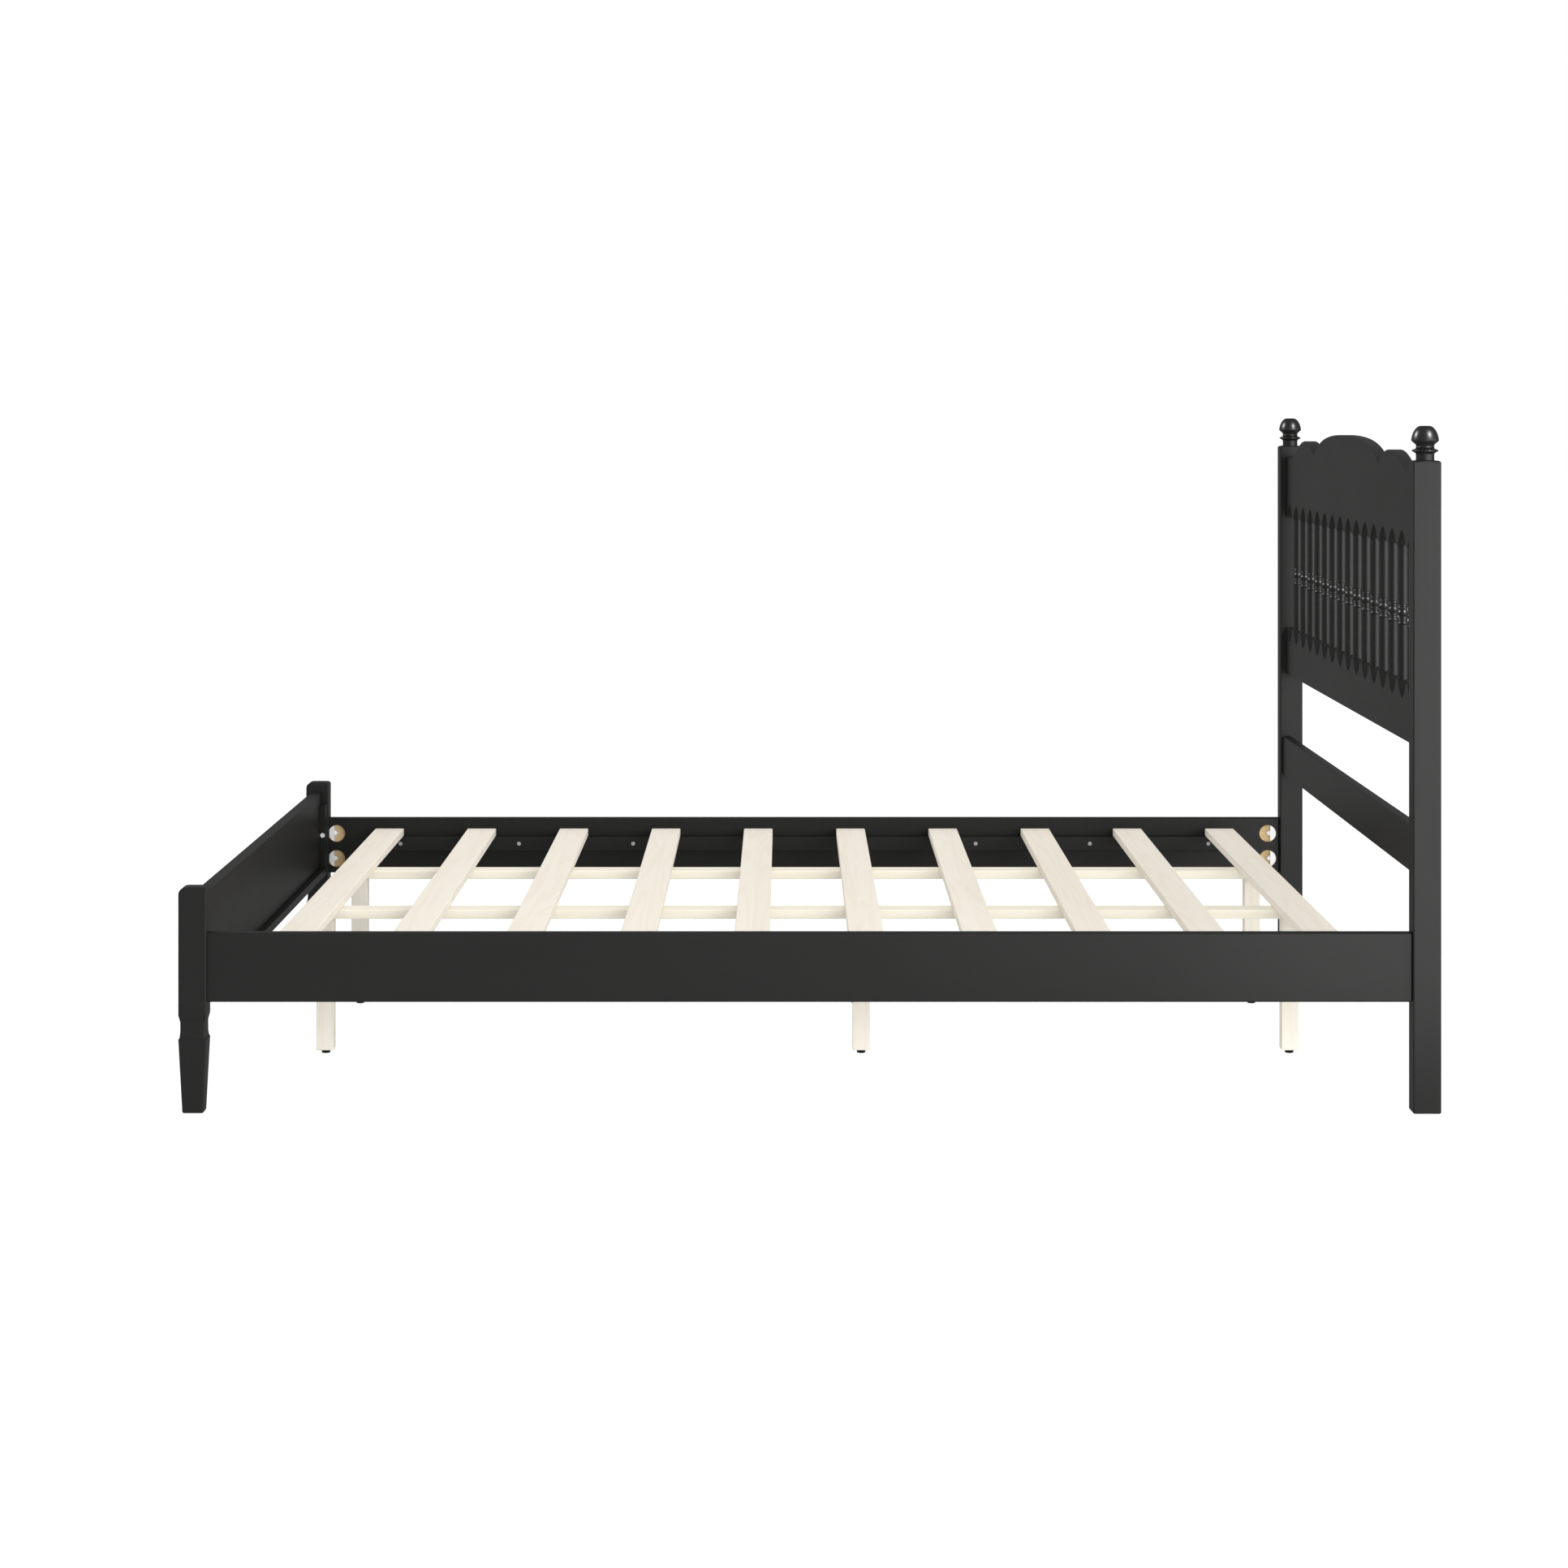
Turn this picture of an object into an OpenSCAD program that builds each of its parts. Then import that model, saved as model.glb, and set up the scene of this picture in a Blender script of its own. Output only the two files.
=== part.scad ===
// Platform bed with a spindle headboard, a low panel footboard and a slatted base.
// Origin: floor level, middle of the bed. +X points to the headboard, +Z up.
// "right" is the -Y side and "left" the +Y side.

/* [Bed size] */
// Clear length between the head posts and the foot posts
inner_len = 2048; // [1700:1:2300]
// Clear width between the two posts of one end
inner_w = 1540; // [900:1:1950]

/* [Posts] */
// Post size along the bed
post_x = 48; // [40:0.5:70]
// Post size across the bed
post_y = 44; // [40:0.5:70]
// Rounding of the long post edges
post_edge = 2.5; // [1:0.1:5]
// Height of a head post
head_post_h = 1109; // [900:1:1300]
// Height of the slightly domed top of a head post
dome_h = 4.5; // [2:0.1:8]
// How far that dome reaches in from each side
dome_in = 11; // [6:0.5:14]
// Height of a foot post
foot_post_h = 384; // [340:1:520]
// Rounding over the outer top edge of a foot post
top_round_out = 12; // [4:0.5:14]
// Rounding over the other top edges of a foot post
top_round = 6; // [3:0.5:10]

/* [Foot turning] */
// Height at which the tapered foot starts
taper_h = 126; // [80:1:150]
// How much narrower each side of the foot is at the floor
taper_in = 5.8; // [2:0.1:9]
// Depth of the cove cut above the foot
cove_in = 2.9; // [1:0.1:5]
// Height of the cove
cove_h = 43; // [24:1:48]
// Share of the cove's height below its deepest line
cove_low = 0.36; // [0.2:0.01:0.5]
// Share of the cove's height below the curve that leads out of it
cove_flat = 0.62; // [0.55:0.01:0.8]
// Bevel at the very bottom of every post
floor_bevel = 1.5; // [0.5:0.1:3]

/* [Headboard rails] */
// Thickness of the crest rail and of the lower rail
board_t = 22; // [16:0.5:30]
// Distance from the top of a head post down to the ends of the crest rail
crest_down = 24; // [10:0.5:60]
// Height of the crest rail where it meets a post
crest_end_h = 130; // [90:1:140]
// How far the middle of the crest rises above its ends
crest_rise = 56.5; // [30:0.5:90]
// How far the side lobes of the crest rise above its ends
lobe_rise = 37.5; // [20:0.5:60]
// How far the notch between the lobes lies above the ends
notch_rise = 9; // [2:0.5:20]
// Share of the clear width from the middle of the bed to the notch
lobe_share = 0.252; // [0.2:0.002:0.27]
// Share of the clear width that a side lobe takes
side_lobe_share = 0.182; // [0.12:0.002:0.19]
// Height of the lower rail
lower_h = 100; // [80:1:140]
// Clear gap between the lower rail and the cross rail
cross_gap = 134.5; // [60:0.5:200]
// Height of the cross rail
cross_h = 81; // [50:1:110]
// Thickness of the cross rail
cross_t = 18; // [14:0.5:26]
// Setback of the cross rail from the inner post face
cross_back = 6; // [2:0.5:16]
// Rounding of the long edges of the cross rail and the footboard panel
board_edge = 2; // [1:0.1:4]

/* [Spindles] */
// Length of a spindle between the two rails
spindle_len = 236.5; // [180:0.5:300]
// Radius of a spindle shaft
spindle_r = 9.5; // [7:0.1:11]
// Radius of the turned ball
ball_r = 9.7; // [8:0.1:13]
// Radius of the ring under the ball
ring_r = 9.7; // [8:0.1:13]
// Radius of the small beads beside the ball
bead_r = 8.2; // [6:0.1:9.5]
// Radius of the necks between the turned forms
neck_r = 7.7; // [4:0.1:8]
// Radius of the flat bands beside the beads
band_r = 9; // [7:0.1:12]
// Radius at the bottom of the groove over the upper band
groove_r = 8.1; // [6:0.1:9.5]
// How far the ball's middle lies below the middle of the spindle
ball_low = 1.25; // [-20:0.25:20]
// Radius of the peg at each end of a spindle
peg_r = 5; // [3:0.1:6]
// Length of that peg
peg_len = 12; // [8:1:24]

/* [Arched edges] */
// Flat between the last arch and the post
arch_end = 6; // [2:0.5:12]
// Flat left beside each spindle, between it and the next arch
arch_spare = 0.1; // [0.1:0.1:2]
// Height of one pointed arch
arch_h = 28.5; // [16:0.5:40]
// How far the sides of an arch bulge out from a straight line
arch_bulge = 4.5; // [2:0.1:7]

/* [Footboard] */
// Thickness of the footboard panel
panel_t = 22; // [16:0.5:26]
// Underside of the footboard panel
panel_z = 188; // [180:1:240]
// Height of the footboard panel
panel_h = 176; // [150:1:190]
// Setback of the panel from the outer post face
panel_back = 11; // [4:0.5:14]
// Thickness of the strips behind the panel
strip_t = 12; // [8:0.5:13]
// Height of the strip along the bottom of the panel
ledge_h = 16; // [12:0.5:30]
// Width of the upright strip at each end of the panel
end_strip_w = 28; // [18:0.5:45]
// Height of the upright strip
end_strip_h = 135; // [60:1:145]
// Share of that height below the screw
strip_screw_share = 0.52; // [0.3:0.01:0.7]

/* [Side rails] */
// Thickness of a side rail
rail_t = 22; // [18:0.5:25]
// Height of a side rail
rail_h = 118; // [100:1:150]
// Underside of a side rail
rail_z = 188.5; // [180:0.5:230]
// Setback of a side rail from the outer post face
rail_back = 7; // [3:0.5:9]
// Rounding of the long edges of a side rail
rail_edge = 3; // [1:0.1:6]
// How deep a side rail sits in the foot post
rail_seat = 9; // [4:0.5:12]

/* [Rail bolts] */
// Radius of a bolt pocket
pocket_r = 18; // [14:0.1:20]
// Depth of a bolt pocket
pocket_deep = 16; // [14:0.1:17]
// Distance from the end of a rail to the middle of its pockets
pocket_end = 25; // [22:0.5:40]
// Height of the lower pocket above the underside of the rail
pocket_low = 30.5; // [22:0.5:34]
// Distance between the two pockets of one rail end
pocket_gap = 54; // [44:0.5:64]
// Distance from the inner rail face to the bolt
bolt_in = 9; // [8:0.1:10]
// Radius of a rail bolt
bolt_r = 3; // [2:0.1:4]
// Depth of a rail bolt in the post
bolt_deep = 30; // [16:0.5:34]
// Distance from the pocket's middle to the flat of the washer
washer_flat = 5.7; // [4:0.1:8]
// Width across the flats of a nut
nut_w = 10; // [8:0.1:12]
// Thickness of a nut
nut_t = 5; // [3:0.1:6]
// How far a bolt shows past its nut
bolt_out = 2.6; // [1:0.1:5]

/* [Slatted base] */
// Clear space between an end slat and the posts
slat_end_gap = 100; // [40:1:140]
// Width of a slat
slat_w = 61.5; // [40:0.5:90]
// Thickness of a slat
slat_t = 16; // [12:0.5:24]
// Free space at each end of a slat
slat_free = 5; // [2:0.5:10]
// Rounding of the long slat edges
slat_edge = 2; // [0.5:0.1:4]
// Height of the underside of a cleat above the underside of its rail
cleat_up = 50; // [44:0.5:70]
// Height of a cleat
cleat_h = 30; // [20:0.5:40]
// Thickness of a cleat
cleat_t = 20; // [14:0.5:26]
// Rounding of the long edges of a cleat and of a beam
bar_edge = 1.5; // [0.5:0.1:3]
// How far a cleat reaches past the end slats
cleat_over = 6; // [0:0.5:20]
// Width of a support beam
beam_w = 55; // [40:0.5:80]
// Thickness of a support beam
beam_t = 17; // [12:0.5:26]
// Distance of a support beam from the middle of the bed
beam_y = 262; // [180:1:340]

/* [Support legs] */
// Width of a square support leg
leg_w = 32; // [26:0.5:50]
// Rounding of the long edges of a support leg
leg_edge = 2; // [0.5:0.1:4]
// Bevel at the foot of a support leg
leg_bevel = 2; // [0.5:0.1:4]
// Radius of a glide
glide_r = 8; // [6:0.1:12]
// Height of a glide's head
glide_h = 6.5; // [4:0.1:10]
// Radius of a glide's stem
stem_r = 4; // [2.5:0.1:5]
// Length of a glide's stem
stem_len = 30; // [20:0.5:40]
// Play around the stem
stem_play = 0.08; // [0.05:0.01:0.1]

/* [Screws] */
// Radius of a cleat or strip screw's shank
screw_r = 2; // [1.5:0.1:2.5]
// Radius of the screw's head
screw_head_r = 5; // [3:0.1:6]
// Depth of the screw's head
screw_head_h = 3; // [2:0.1:4]
// Depth of a screw in the piece that it holds on to
screw_deep = 12; // [8:0.5:16]
// Distance between the inner screws of a cleat
cleat_screw_gap = 245.5; // [180:0.5:248]
// Distance from a cleat's end to its last screw
cleat_screw_end = 61.5; // [20:0.5:80]
// Radius of a leg screw's shank
leg_screw_r = 3; // [2:0.1:4]
// Radius of a leg screw's head
leg_screw_head_r = 5.5; // [4:0.1:7]
// Depth of a leg screw in its leg
leg_screw_deep = 40; // [25:1:60]

/* [Joinery] */
// Thickness of a tenon
tenon_t = 11; // [8:0.5:12]
// Length of a tenon
tenon_len = 16; // [10:0.5:18]
// Length of a tenon's root inside its board
tenon_root = 2; // [1:0.5:6]
// Shoulder above and below a tenon
tenon_shoulder = 12; // [6:0.5:20]
// Space left round every joint in the wood
fit = 0.2; // [0.05:0.05:0.4]

/* [Hidden] */
spindle_n = 15;
slat_n = 10;
middle_slat = 6;
cleat_screw_n = 8;

$fn = 48;

paint = [0.22, 0.22, 0.22];
pale_wood = [0.9, 0.86, 0.77];
zinc = [0.8, 0.81, 0.83];
black_plastic = [0.09, 0.09, 0.09];

// Places that follow from the sizes above
end_x = inner_len / 2;
out_x = end_x + post_x;
post_mid_x = end_x + post_x / 2;
in_y = inner_w / 2;
out_y = in_y + post_y;
post_mid_y = in_y + post_y / 2;
rail_out_y = out_y - rail_back;
rail_in_y = rail_out_y - rail_t;
rail_len = inner_len + rail_seat;
rail_mid_x = -rail_seat / 2;
bolt_y = rail_in_y + bolt_in;
pocket_x = [-end_x - rail_seat + pocket_end, end_x - pocket_end];
pocket_z = [rail_z + pocket_low, rail_z + pocket_low + pocket_gap];
cleat_z = rail_z + cleat_up;
slat_z = cleat_z + cleat_h;
slat_len = 2 * (rail_in_y - slat_free);
slat_span = inner_len - 2 * slat_end_gap;
slat_pitch = (slat_span - slat_w) / (slat_n - 1);
beam_z = slat_z - beam_t;
leg_x = [slat_x(1), slat_x(middle_slat), slat_x(slat_n)];
panel_x = -out_x + panel_back;
strip_x = panel_x + panel_t;
end_strip_z = panel_z + ledge_h;
strip_screw_z = end_strip_z + end_strip_h * strip_screw_share;
strip_screw_len = end_strip_w + screw_deep;
crest_top = head_post_h - crest_down;
crest_z = crest_top - crest_end_h;
lower_top = crest_z - spindle_len;
lower_z = lower_top - lower_h;
cross_z = lower_z - cross_gap - cross_h;
ball_z = (lower_top + crest_z) / 2 - ball_low;
arch_n = spindle_n + 1;
arch_flat = 2 * (spindle_r + arch_spare);
spindle_pitch = (inner_w - 2 * arch_end + arch_flat) / arch_n;
arch_w = spindle_pitch - arch_flat;

function node_name(stem, i) = str(stem, i < 10 && (stem == "spindle_" || stem == "slat_") ? "0" : "", i);
function slat_x(i) = (i - (slat_n + 1) / 2) * slat_pitch;
function spindle_y(i) = (i - (spindle_n + 1) / 2) * spindle_pitch;

// Points along an elliptical arc about [cx, cy]
function arc(cx, cy, rx, ry, from, to, steps) =
    [for (i = [0 : steps]) let (a = from + (to - from) * i / steps) [cx + rx * cos(a), cy + ry * sin(a)]];

// Points along a cubic curve with two handles
function curve(a, b, c, d, steps) =
    [for (i = [1 : steps]) let (t = i / steps, u = 1 - t)
        a * u * u * u + b * 3 * u * u * t + c * 3 * u * t * t + d * t * t * t];

// Flat outline with rounded corners, centred
module round_rect(w, h, r) {
    square([w - 2 * r, h], center = true);
    square([w, h - 2 * r], center = true);
    for (x = [-1, 1], y = [-1, 1])
        translate([x * (w / 2 - r), y * (h / 2 - r)]) circle(r, $fn = 32);
}

// Bar along X with rounded long edges, size y by z, centred on its axis
module bar_x(len, y, z, r) {
    rotate([90, 0, 90]) translate([0, 0, -len / 2]) linear_extrude(len) round_rect(y, z, r);
}

// Bar along Y with rounded long edges, size x by z, centred on its axis
module bar_y(len, x, z, r) {
    rotate([90, 0, 0]) translate([0, 0, -len / 2]) linear_extrude(len) round_rect(x, z, r);
}

// One level of a post: height, then how far the outer, inner and side faces are drawn in
corner_steps = 4;
ring_n = 4 * (corner_steps + 1);
function post_ring(level) =
    let (x0 = -post_x / 2 + level[1], x1 = post_x / 2 - level[2], y1 = post_y / 2 - level[3], r = post_edge)
    [for (q = [0 : 3]) let (cx = (q == 0 || q == 3) ? x1 - r : x0 + r, cy = q < 2 ? y1 - r : -y1 + r)
        for (i = [0 : corner_steps]) let (a = 90 * (q + i / corner_steps))
            [cx + r * cos(a), cy + r * sin(a), level[0]]];

// Solid post through a list of levels, outer face to -X
module post_loft(levels) {
    n = len(levels);
    points = [for (level = levels) each post_ring(level)];
    sides = [for (k = [0 : n - 2], i = [0 : ring_n - 1])
        let (a = k * ring_n + i, b = k * ring_n + (i + 1) % ring_n)
        each [[a, a + ring_n, b + ring_n], [a, b + ring_n, b]]];
    bottom = [for (i = [0 : ring_n - 1]) i];
    top = [for (i = [ring_n - 1 : -1 : 0]) (n - 1) * ring_n + i];
    polyhedron(points, concat([bottom, top], sides));
}

dome_steps = 6;
head_levels = concat(
    [[0, floor_bevel, floor_bevel, floor_bevel], [floor_bevel, 0, 0, 0]],
    [for (i = [0 : dome_steps]) let (a = 90 * i / dome_steps, s = dome_in * (1 - cos(a)))
        [head_post_h - dome_h * (1 - sin(a)), s, s, s]]);

round_steps = 8;
function round_in(r, up) = up > r ? 0 : r - sqrt(r * r - (r - up) * (r - up));
foot_levels = concat(
    [[0, taper_in + floor_bevel, taper_in + floor_bevel, taper_in + floor_bevel],
     [floor_bevel, taper_in, taper_in, taper_in],
     [taper_h, 0, 0, 0]],
    [for (i = [1 : round_steps]) let (a = 90 * i / round_steps, s = cove_in * sin(a))
        [taper_h + cove_h * cove_low * (1 - cos(a)), s, s, s]],
    [for (i = [0 : round_steps]) let (a = 180 * i / round_steps, s = cove_in * (1 + cos(a)) / 2)
        [taper_h + cove_h * (cove_flat + (1 - cove_flat) * i / round_steps), s, s, s]],
    [for (i = [0 : round_steps]) let (up = top_round_out * (1 - sin(90 * i / round_steps)),
            s = round_in(top_round, up))
        [foot_post_h - up, round_in(top_round_out, up), s, s]]);

// Slot for a tenon that enters a post from the bed's middle
module post_mortise(x, z, h) {
    translate([x - tenon_t / 2 - fit, -tenon_len - fit - 1, z + tenon_shoulder - fit])
        cube([tenon_t + 2 * fit, tenon_len + fit + 1, h - 2 * tenon_shoulder + 2 * fit]);
}

// Tenons on both ends of a board that lies across the bed
module tenons(x, z, h) {
    for (side = [-1, 1])
        translate([x, side * (in_y + (tenon_len - tenon_root) / 2), z + h / 2])
            cube([tenon_t, tenon_len + tenon_root, h - 2 * tenon_shoulder], center = true);
}

// Head post on the +Y side
module head_post() {
    color(paint) difference() {
        translate([post_mid_x, post_mid_y, 0]) rotate([0, 0, 180]) post_loft(head_levels);
        translate([0, in_y, 0]) {
            mirror([0, 1, 0]) post_mortise(post_mid_x, crest_z, crest_end_h);
            mirror([0, 1, 0]) post_mortise(post_mid_x, lower_z, lower_h);
            mirror([0, 1, 0]) post_mortise(cross_mid_x, cross_z, cross_h);
        }
        translate([post_mid_x, post_mid_y, head_post_h - finial_peg_len - fit])
            cylinder(r = finial_peg_r + fit, h = finial_peg_len + 2);
        for (z = pocket_z)
            translate([end_x - 1, bolt_y, z]) rotate([0, 90, 0])
                cylinder(r = bolt_r + fit, h = bolt_deep + fit + 1, $fn = 24);
    }
}

// Foot post on the +Y side
module foot_post() {
    color(paint) difference() {
        translate([-post_mid_x, post_mid_y, 0]) post_loft(foot_levels);
        translate([0, in_y, 0]) mirror([0, 1, 0])
            post_mortise(panel_x + panel_t / 2, panel_z, panel_h);
        translate([-end_x - rail_seat - fit, rail_in_y - fit, rail_z - fit])
            cube([rail_seat + fit + 1, rail_t + 2 * fit, rail_h + 2 * fit]);
        for (z = pocket_z)
            translate([-end_x - rail_seat + 1, bolt_y, z]) rotate([0, -90, 0])
                cylinder(r = bolt_r + fit, h = bolt_deep + fit + 1, $fn = 24);
        translate([strip_x + strip_t / 2, in_y - 1, strip_screw_z]) rotate([-90, 0, 0])
            cylinder(r = screw_r + fit, h = screw_deep + fit + 1, $fn = 24);
    }
}

// Turned finial: peg, neck, ring, bead, cove and ball
finial_peg_r = 6;
finial_peg_len = 20;
finial_neck_r = 15.6;
finial_ring_r = 22.4;
finial_ball_r = 23.4;
finial_crown_r = 7;
finial_ring_z = 16.7;
finial_bead_z = 22.5;
finial_edge_z = 34.2;
finial_h = 58.6;
finial_profile = concat(
    [[0, -finial_peg_len], [finial_peg_r, -finial_peg_len], [finial_peg_r, 0], [finial_neck_r, 0]],
    [[finial_neck_r, finial_ring_z - 8.5]],
    arc(finial_ring_r - 1.3, finial_ring_z - 8.3, finial_ring_r - 1.3 - finial_neck_r, 6.6, 180, 90, 5),
    arc(finial_ring_r - 1.5, finial_ring_z, 1.5, 1.7, -80, 80, 6),
    curve([finial_ring_r - 1.2, finial_ring_z + 1.7], [finial_ring_r - 2.8, finial_ring_z + 2.3],
        [finial_neck_r + 2.4, finial_bead_z - 2.5], [finial_neck_r + 0.4, finial_bead_z - 1.4], 3),
    arc(finial_neck_r - 1, finial_bead_z, 2.2, 1.5, -60, 60, 5),
    curve([finial_neck_r + 0.1, finial_bead_z + 1.3], [finial_neck_r + 0.3, finial_bead_z + 4.6],
        [finial_ball_r - 4, finial_edge_z - 4.8], [finial_ball_r - 0.8, finial_edge_z - 1.6], 7),
    curve([finial_ball_r - 0.8, finial_edge_z - 1.6], [finial_ball_r - 0.2, finial_edge_z - 1.1],
        [finial_ball_r + 0.1, finial_edge_z - 0.6], [finial_ball_r, finial_edge_z], 3),
    curve([finial_ball_r, finial_edge_z], [finial_ball_r - 2.4, finial_h - 10],
        [finial_crown_r + 8, finial_h], [finial_crown_r, finial_h], 16),
    [[0, finial_h]]);

module finial() {
    color(paint) translate([post_mid_x, post_mid_y, head_post_h])
        rotate_extrude($fn = 64) polygon(finial_profile);
}

// One pointed arch standing on the line y = 0
module arch() {
    side = sqrt(pow(arch_w / 2, 2) + pow(arch_h, 2));
    r = side * side / (8 * arch_bulge) + arch_bulge / 2;
    toward = r - arch_bulge;
    away = [arch_h, arch_w / 2] / side;
    intersection() {
        arch_side(1, r, toward, away);
        arch_side(-1, r, toward, away);
    translate([-arch_w, -1]) square([2 * arch_w, arch_h + 2]);
    }
}

module arch_side(s, r, toward, away) {
    translate([s * (arch_w / 4 - away[0] * toward), arch_h / 2 - away[1] * toward]) circle(r, $fn = 96);
}

module arch_row() {
    for (i = [1 : arch_n])
        translate([(i - (arch_n + 1) / 2) * spindle_pitch, 0]) arch();
}

// Half of the crest outline, from the middle to the post
lobe_w = inner_w * lobe_share;
side_lobe_w = inner_w * side_lobe_share;
side_lobe_mid = lobe_w + side_lobe_w * 0.42;
crest_half = concat(
    [[0, crest_rise]],
    curve([0, crest_rise], [lobe_w * 0.62, crest_rise], [lobe_w * 0.86, crest_rise - 19],
        [lobe_w, notch_rise], 14),
    curve([lobe_w, notch_rise], [lobe_w + side_lobe_w * 0.1, lobe_rise * 0.74],
        [side_lobe_mid - side_lobe_w * 0.2, lobe_rise], [side_lobe_mid, lobe_rise], 8),
    curve([side_lobe_mid, lobe_rise], [side_lobe_mid + side_lobe_w * 0.24, lobe_rise],
        [lobe_w + side_lobe_w * 0.86, lobe_rise * 0.33], [lobe_w + side_lobe_w, 3.5], 10),
    curve([lobe_w + side_lobe_w, 3.5], [lobe_w + side_lobe_w + 10, 0],
        [lobe_w + side_lobe_w + 16, 0], [lobe_w + side_lobe_w + 26, 0], 4),
    [[in_y, 0], [in_y, -crest_end_h]]);

module crest_outline() {
    polygon(concat([for (p = crest_half) [p[0], p[1] + crest_top]],
        [for (i = [len(crest_half) - 1 : -1 : 1]) [-crest_half[i][0], crest_half[i][1] + crest_top]]));
}

// Board across the bed: a flat outline given thickness about the post's middle
module across(t, x) {
    rotate([90, 0, 90]) translate([0, 0, x - t / 2]) linear_extrude(t) children();
}

// Blind holes that take the spindle pegs, opening upward at z
module peg_holes(z) {
    for (i = [1 : spindle_n])
        translate([post_mid_x, spindle_y(i), z - peg_len - fit])
            cylinder(r = peg_r + fit, h = peg_len + fit + 1, $fn = 32);
}

module headboard_crest_rail() {
    color(paint) difference() {
        union() {
            across(board_t, post_mid_x) difference() {
                crest_outline();
                translate([0, crest_z]) arch_row();
            }
            tenons(post_mid_x, crest_z, crest_end_h);
        }
        translate([0, 0, 2 * crest_z]) mirror([0, 0, 1]) peg_holes(crest_z);
    }
}

module headboard_lower_rail() {
    color(paint) difference() {
        union() {
            across(board_t, post_mid_x) difference() {
                translate([-in_y, lower_z]) square([inner_w, lower_h]);
                translate([0, lower_top]) mirror([0, 1]) arch_row();
            }
            tenons(post_mid_x, lower_z, lower_h);
        }
        peg_holes(lower_top);
    }
}

cross_mid_x = end_x + cross_back + cross_t / 2;
module headboard_cross_rail() {
    color(paint) {
        translate([cross_mid_x, 0, cross_z + cross_h / 2]) bar_y(inner_w, cross_t, cross_h, board_edge);
        tenons(cross_mid_x, cross_z, cross_h);
    }
}

// Turned spindle: peg, shaft, ring, bead, band, ball, bead, band, groove, shaft, peg
ball_half = 8.6;
ball_cut = acos(neck_r / ball_r);
band_half = 1.6;
bead_half = 1.8;
ring_half = 2.4;
spindle_profile = concat(
    [[0, lower_top - peg_len], [peg_r, lower_top - peg_len], [peg_r, lower_top], [spindle_r, lower_top]],
    [[spindle_r, ball_z - 20.9]],
    arc(ring_r - 1.4, ball_z - 18.3, 1.4, ring_half, -60, 80, 6),
    arc(neck_r, ball_z - 12.9, bead_r - neck_r, bead_half, -90, 90, 6),
    arc(band_r - 0.8, ball_z - 9.4, 0.8, band_half, -80, 80, 5),
    [[neck_r, ball_z - 7.4]],
    arc(0, ball_z, ball_r, ball_half, -ball_cut, ball_cut, 12),
    arc(neck_r, ball_z + 8.8, bead_r - neck_r, bead_half, -90, 90, 6),
    arc(band_r - 0.8, ball_z + 12.4, 0.8, band_half, -80, 80, 5),
    [[groove_r, ball_z + 14.3], [groove_r, ball_z + 15.4], [spindle_r, ball_z + 16]],
    [[spindle_r, crest_z], [peg_r, crest_z], [peg_r, crest_z + peg_len], [0, crest_z + peg_len]]);

module spindle(i) {
    color(paint) translate([post_mid_x, spindle_y(i), 0]) rotate_extrude($fn = 32) polygon(spindle_profile);
}

module footboard_panel() {
    color(paint) {
        translate([panel_x + panel_t / 2, 0, panel_z + panel_h / 2])
            bar_y(inner_w, panel_t, panel_h, board_edge);
        tenons(panel_x + panel_t / 2, panel_z, panel_h);
    }
}

module footboard_ledge() {
    color(paint) translate([strip_x, -in_y, panel_z]) cube([strip_t, inner_w, ledge_h]);
}

module footboard_end_strips() {
    color(paint) for (side = [0, 1]) mirror([0, side, 0]) difference() {
        translate([strip_x, in_y - end_strip_w, end_strip_z]) cube([strip_t, end_strip_w, end_strip_h]);
        translate([strip_x + strip_t / 2, in_y - end_strip_w - 1, strip_screw_z]) rotate([-90, 0, 0])
            screw_hole(end_strip_w + 2);
    }
}

// Screw along +Z, top of its head at z = 0, pointing down
module screw(len) {
    rotate([180, 0, 0]) {
        cylinder(r1 = screw_head_r, r2 = screw_r, h = screw_head_h, $fn = 24);
        cylinder(r = screw_r, h = len, $fn = 24);
    }
}

// Hole for a screw that enters at z = 1 and leaves at z = len, with room for its head
module screw_hole(len) {
    cylinder(r = screw_r + fit, h = len, $fn = 24);
    cylinder(r = screw_head_r + fit, h = 1, $fn = 24);
    translate([0, 0, 1]) cylinder(r1 = screw_head_r + fit, r2 = screw_r + fit, h = screw_head_h, $fn = 24);
}

cleat_len = slat_span + 2 * cleat_over;
function cleat_screw_x(i) =
    i == 1 ? -cleat_len / 2 + cleat_screw_end :
    i == cleat_screw_n ? cleat_len / 2 - cleat_screw_end :
    (i - (cleat_screw_n + 1) / 2) * cleat_screw_gap;
cleat_screw_z = cleat_z + cleat_h / 2;

// Side rail on the +Y side, with blind bolt pockets on its inner face
module side_rail() {
    color(paint) difference() {
        translate([rail_mid_x, (rail_in_y + rail_out_y) / 2, rail_z + rail_h / 2])
            bar_x(rail_len, rail_t, rail_h, rail_edge);
        for (z = pocket_z) {
            for (x = pocket_x)
                translate([x, rail_in_y - 1, z]) rotate([-90, 0, 0])
                    cylinder(r = pocket_r, h = pocket_deep + 1);
            translate([-end_x - rail_seat - 1, bolt_y, z]) rotate([0, 90, 0])
                cylinder(r = bolt_r + fit, h = pocket_end, $fn = 24);
            translate([end_x - pocket_end + 1, bolt_y, z]) rotate([0, 90, 0])
                cylinder(r = bolt_r + fit, h = pocket_end, $fn = 24);
        }
        for (i = [1 : cleat_screw_n])
            translate([cleat_screw_x(i), rail_in_y - 1, cleat_screw_z]) rotate([-90, 0, 0])
                cylinder(r = screw_r + fit, h = screw_deep + fit + 1, $fn = 24);
    }
}

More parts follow.
